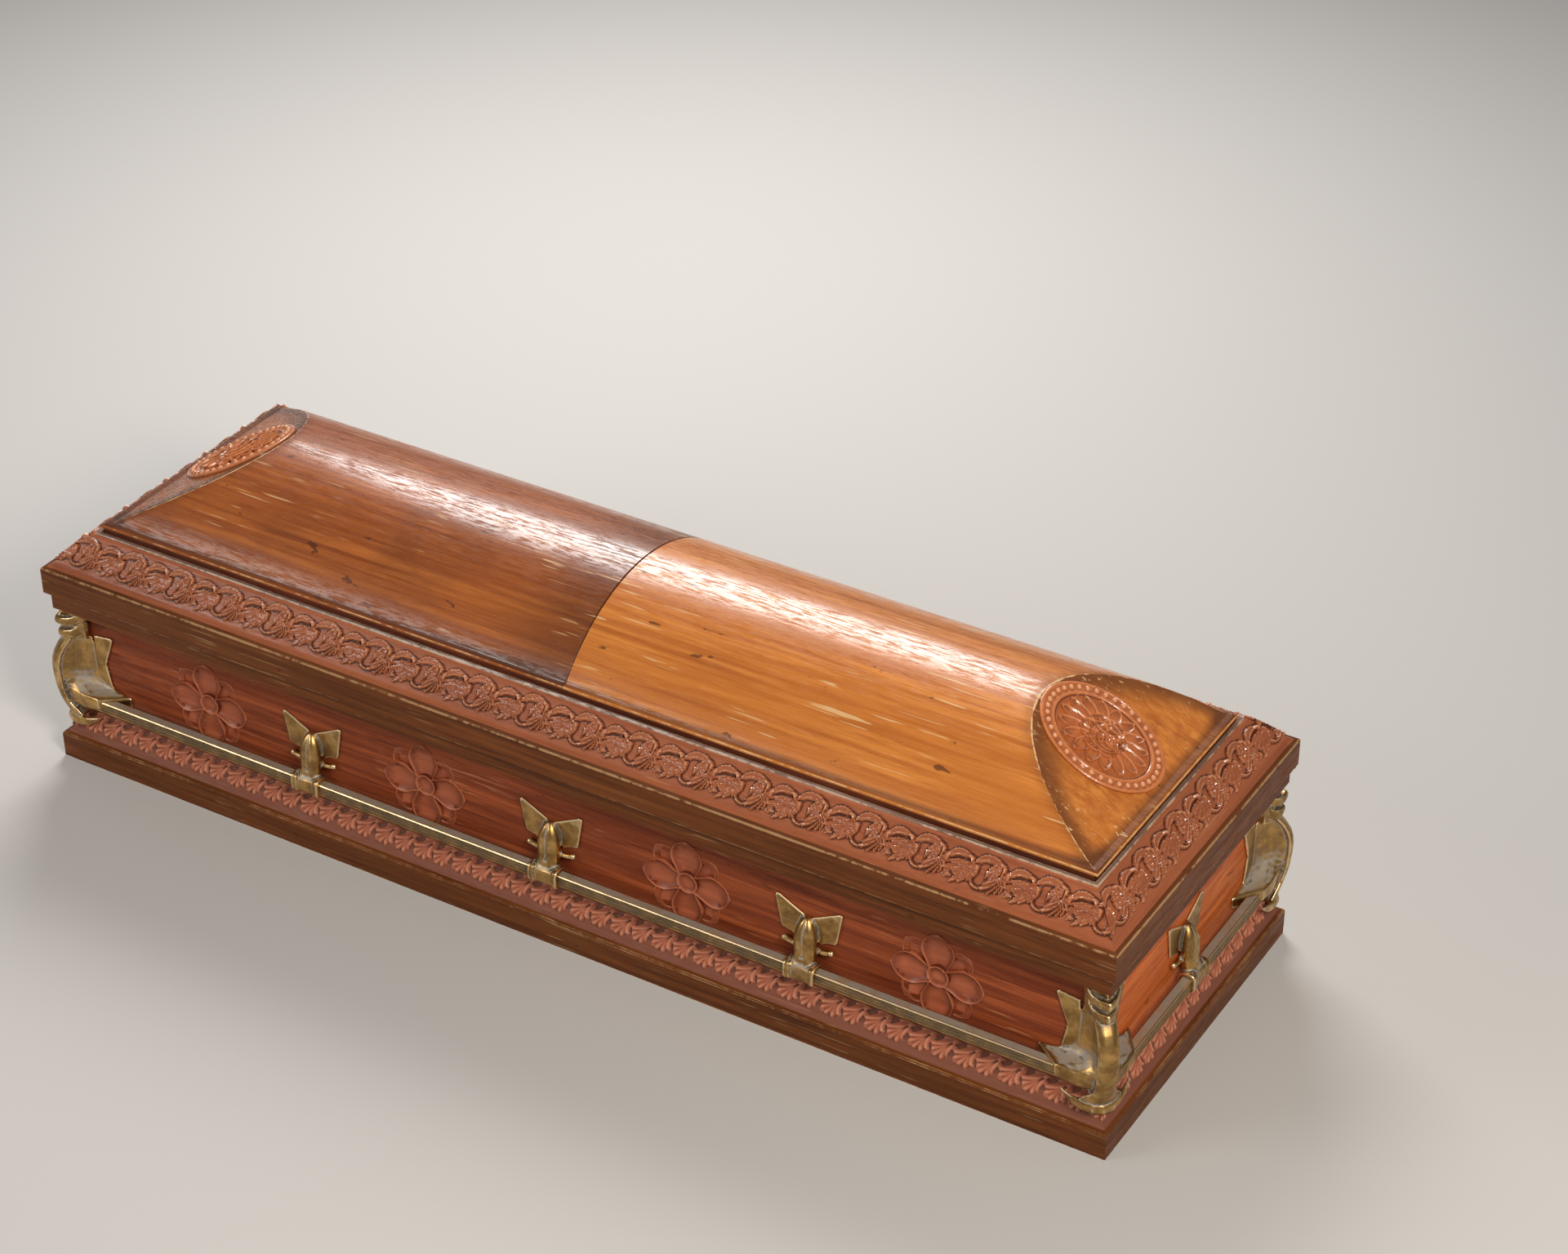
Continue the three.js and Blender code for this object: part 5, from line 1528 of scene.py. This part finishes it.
# %% [markdown]
# ## Linen
# Floor and walls are thin pads: linen drawn over wadding on a board, so the face is a little uneven and rolls
# away at the edges. Each is a grid of points pushed by a smooth noise. The pillow is stuffed: two crowned
# sheets that pull in between pointed corners are remeshed evenly and blown up as cloth, which gives the
# swelling and the small folds.


# %% Floor and wall pads
def pad_mesh(name, wide, tall, thick, taper, cell=22 * MM):
    """A pad lying flat: soft face up, rolled edges, flat back that is wider by taper at both ends."""
    columns, rows = round(wide / cell), round(tall / cell)
    points = []
    for back in (False, True):
        for i in range(columns + 1):
            for j in range(rows + 1):
                u, v = wide * (i / columns - 0.5), tall * j / rows
                edge = min(wide / 2 - abs(u), v, tall - v)
                soft = min(1.0, thick / (16 * MM))
                face = thick - 3 * MM * soft * max(0.0, 1 - edge / (14 * MM)) ** 2
                face += soft * (0.8 * MM * noise.noise(Vector((u * 5, v * 7, thick * 900))) - 0.4 * MM)
                points.append((u * (1 + 2 * taper / wide), v, 0) if back else (u, v, face))
    return sewn_mesh(name, points, columns, rows, 50)


def place_pad(node, mesh, matrix):
    mesh.transform(matrix)
    map_cloth(mesh)
    obj = object_from_mesh(f"{node}_cloth", with_finish(mesh, LINEN))
    hand_over(obj, "box", "linen", node)


FLAP = 1.6 * MM
FLAP_LEAN = 0.085
FLAP_INSET, FLAP_FACE = 84 * MM, 78.2 * MM
FLAP_LOW, FLAP_TALL = 284 * MM, 62 * MM


def make_pads():
    low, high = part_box("floor_lining")
    floor_pad = pad_mesh("floor pad", high.x - low.x, high.y - low.y, high.z - low.z, 0.0)
    place_pad("floor_lining", floor_pad, Matrix.Translation((0, low.y, low.z)))
    low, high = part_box("wall_lining_front")
    inset, thick = low.y + HALF_WIDTH, high.y - low.y
    for name, side in SIDES.items():
        pad = pad_mesh(f"{name} pad", 2 * (side["half"] - inset - thick), high.z - low.z, thick, thick)
        stand = Matrix(((1, 0, 0, 0), (0, 0, 1, 0), (0, 1, 0, 0), (0, 0, 0, 1)))
        pad.transform(Matrix.Translation((0, inset - side["depth"], low.z)) @ stand)
        flap = pad_mesh(f"{name} flap", 2 * (side["half"] - FLAP_INSET), FLAP_TALL, FLAP, FLAP)
        stand[1][1] = FLAP_LEAN
        flap.transform(Matrix.Translation((0, FLAP_FACE - side["depth"], FLAP_LOW)) @ stand)
        both = join_meshes(f"{name} wall cloth", [(pad, Matrix.Identity(4)), (flap, Matrix.Identity(4))])
        mesh = both.data.copy()
        bpy.data.objects.remove(both)
        place_pad(f"wall_lining_{name}", mesh, side["turn"])


make_pads()


# %% [markdown]
# The pillow lies at the head end. Sculpting it by hand would be slow to repeat, so a closed skin is blown up
# a little as cloth, and no point may move further than a set distance.


# %% Pillow
def pillow_start(low, high):
    """Two crowned sheets sewn round the edge, thicker at the head, pulled in between the corners."""
    middle, size = (low + high) / 2, high - low
    steps = 44
    points = []
    for top in (True, False):
        for i in range(steps + 1):
            for j in range(steps + 1):
                u, v = 2 * i / steps - 1, 2 * j / steps - 1
                x = middle.x + 0.485 * size.x * u * (1 - 0.1 * (1 - v * v) * u * u)
                y = middle.y + 0.485 * size.y * v * (1 - 0.1 * (1 - u * u) * v * v)
                crown = max(0.0, (1 - u**4) * (1 - v**4)) ** 0.6
                thick = (58 - 16 * u) * MM
                seam = low.z + (46 - 34 * u + 14 * u * u) * MM
                z = seam + 3 * MM + thick * 1.05 * crown if top else seam - 3 * MM - thick * 1.5 * crown
                points.append((x, y, max(z, low.z + 3 * MM)))
    return sewn_mesh("pillow_linen", points, steps, steps)


CLOTH_STEPS = 20
PRESSURE = 4.0
PILLOW_VOXEL = 5 * MM
MOST_SWELL = 22 * MM


def blow_up(obj, cap):
    """Swells a closed skin as cloth under pressure; no point moves further than cap."""
    before = points_of(obj.data)
    cloth = add_modifier(obj, "cloth", "CLOTH").settings
    cloth.use_pressure = True
    cloth.uniform_pressure_force = PRESSURE
    cloth.effector_weights.gravity = 0.0
    for number in range(1, CLOTH_STEPS + 1):
        bpy.context.scene.frame_set(number)
    swollen = evaluated_copy(obj)
    obj.modifiers.clear()
    bpy.context.scene.frame_set(1)
    move = points_of(swollen) - before
    far = np.linalg.norm(move, axis=1, keepdims=True)
    move *= np.minimum(1, cap / np.maximum(far, 1e-9))
    obj.data.vertices.foreach_set("co", (before + move).ravel())
    print("cloth moved", round(float(far.max()) / MM, 1), "mm at most, capped at", cap / MM)


def make_pillow():
    low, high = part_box("pillow")
    obj = object_from_mesh("pillow_linen", pillow_start(low, high))
    add_modifier(obj, "even", "REMESH", mode="VOXEL", voxel_size=PILLOW_VOXEL)
    apply_modifiers(obj)
    blow_up(obj, MOST_SWELL)
    add_modifier(obj, "ease", "SMOOTH", factor=0.5, iterations=2)
    apply_modifiers(obj)
    kept = np.clip(points_of(obj.data), np.array(low) + 0.2 * MM, np.array(high))
    obj.data.vertices.foreach_set("co", kept.ravel())
    obj.data.update()
    obj.data.shade_smooth()
    map_cloth(obj.data)
    with_finish(obj.data, LINEN)
    hand_over(obj, "box", "linen", "pillow")


make_pillow()

# %% [markdown]
# The hinge leaves are plain stamped brass, so their solids stay. So does the bottom board.

# %% Finishes on the solids that stay
for name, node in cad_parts.items():
    if name.startswith("hinge_"):
        with_finish(node.data, BRASS)
    if name == "bottom_board":
        with_finish(node.data, EDGE["along"])

# %% [markdown]
# ## Floor, light and camera
# A pale floor, a large soft light over the back edge that runs a highlight along the crown, and weaker fills.
# The camera stands where the photograph was taken from: in front, to the right and well above.


# %% Floor, light and camera
def make_floor():
    far = 40
    mesh = mesh_from_lists("floor", [(-far, -far, 0), (far, -far, 0), (far, far, 0), (-far, far, 0)],
                           [(0, 1, 2, 3)])
    obj = object_from_mesh("floor", mesh)
    material = bpy.data.materials.new("pale floor")
    material.use_nodes = True
    surface = material.node_tree.nodes["Principled BSDF"]
    surface.inputs["Base Color"].default_value = (0.52, 0.5, 0.475, 1)
    surface.inputs["Roughness"].default_value = 0.75
    mesh.materials.append(material)
    obj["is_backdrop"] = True


def add_area(name, place, target, size, power, colour):
    light = bpy.data.lights.new(name, "AREA")
    light.shape = "RECTANGLE"
    light.size, light.size_y = size
    light.energy = power
    light.color = colour
    obj = bpy.data.objects.new(name, light)
    bpy.context.scene.collection.objects.link(obj)
    obj.location = place
    obj.rotation_euler = (Vector(target) - Vector(place)).to_track_quat("-Z", "Y").to_euler()


def make_light():
    world = bpy.data.worlds.new("studio")
    bpy.context.scene.world = world
    world.use_nodes = True
    world.node_tree.nodes["Background"].inputs["Color"].default_value = (0.9, 0.93, 1.0, 1)
    world.node_tree.nodes["Background"].inputs["Strength"].default_value = 0.2
    add_area("behind the ridge", (-1.7, 2.7, 3.0), (0.0, 0, 0.5), (2.2, 1.5), 150, (1, 0.98, 0.96))
    add_area("key", (3.2, -2.2, 3.4), (0.2, 0, 0.3), (1.3, 1.3), 175, (1, 0.94, 0.85))
    add_area("fill", (-2.8, -3.6, 2.5), (-0.2, 0, 0.2), (2.4, 2.0), 75, (1, 0.97, 0.94))


def make_camera():
    camera = bpy.data.cameras.new("camera")
    camera.sensor_width = 36.0
    camera.lens = 79.65
    obj = bpy.data.objects.new("camera", camera)
    bpy.context.scene.collection.objects.link(obj)
    forward = Vector((-0.43587, 0.71301, -0.54921)).normalized()
    right = Vector((0.85439, 0.51961, -0.00349)).normalized()
    up = right.cross(forward)
    obj.matrix_world = Matrix.Translation((2.72927, -4.02015, 3.63376)) @ Matrix(
        (right, up, -forward)).transposed().to_4x4()
    bpy.context.scene.camera = obj


make_floor()
make_light()
make_camera()
bpy.context.scene.view_settings.view_transform = "Standard"
print("camera", tuple(round(c, 3) for c in bpy.context.scene.camera.location))

# %% [markdown]
# Last, the bounds of the dressed casket are measured, leaving out the floor.

# %% Sizes, then finish
low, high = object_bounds()
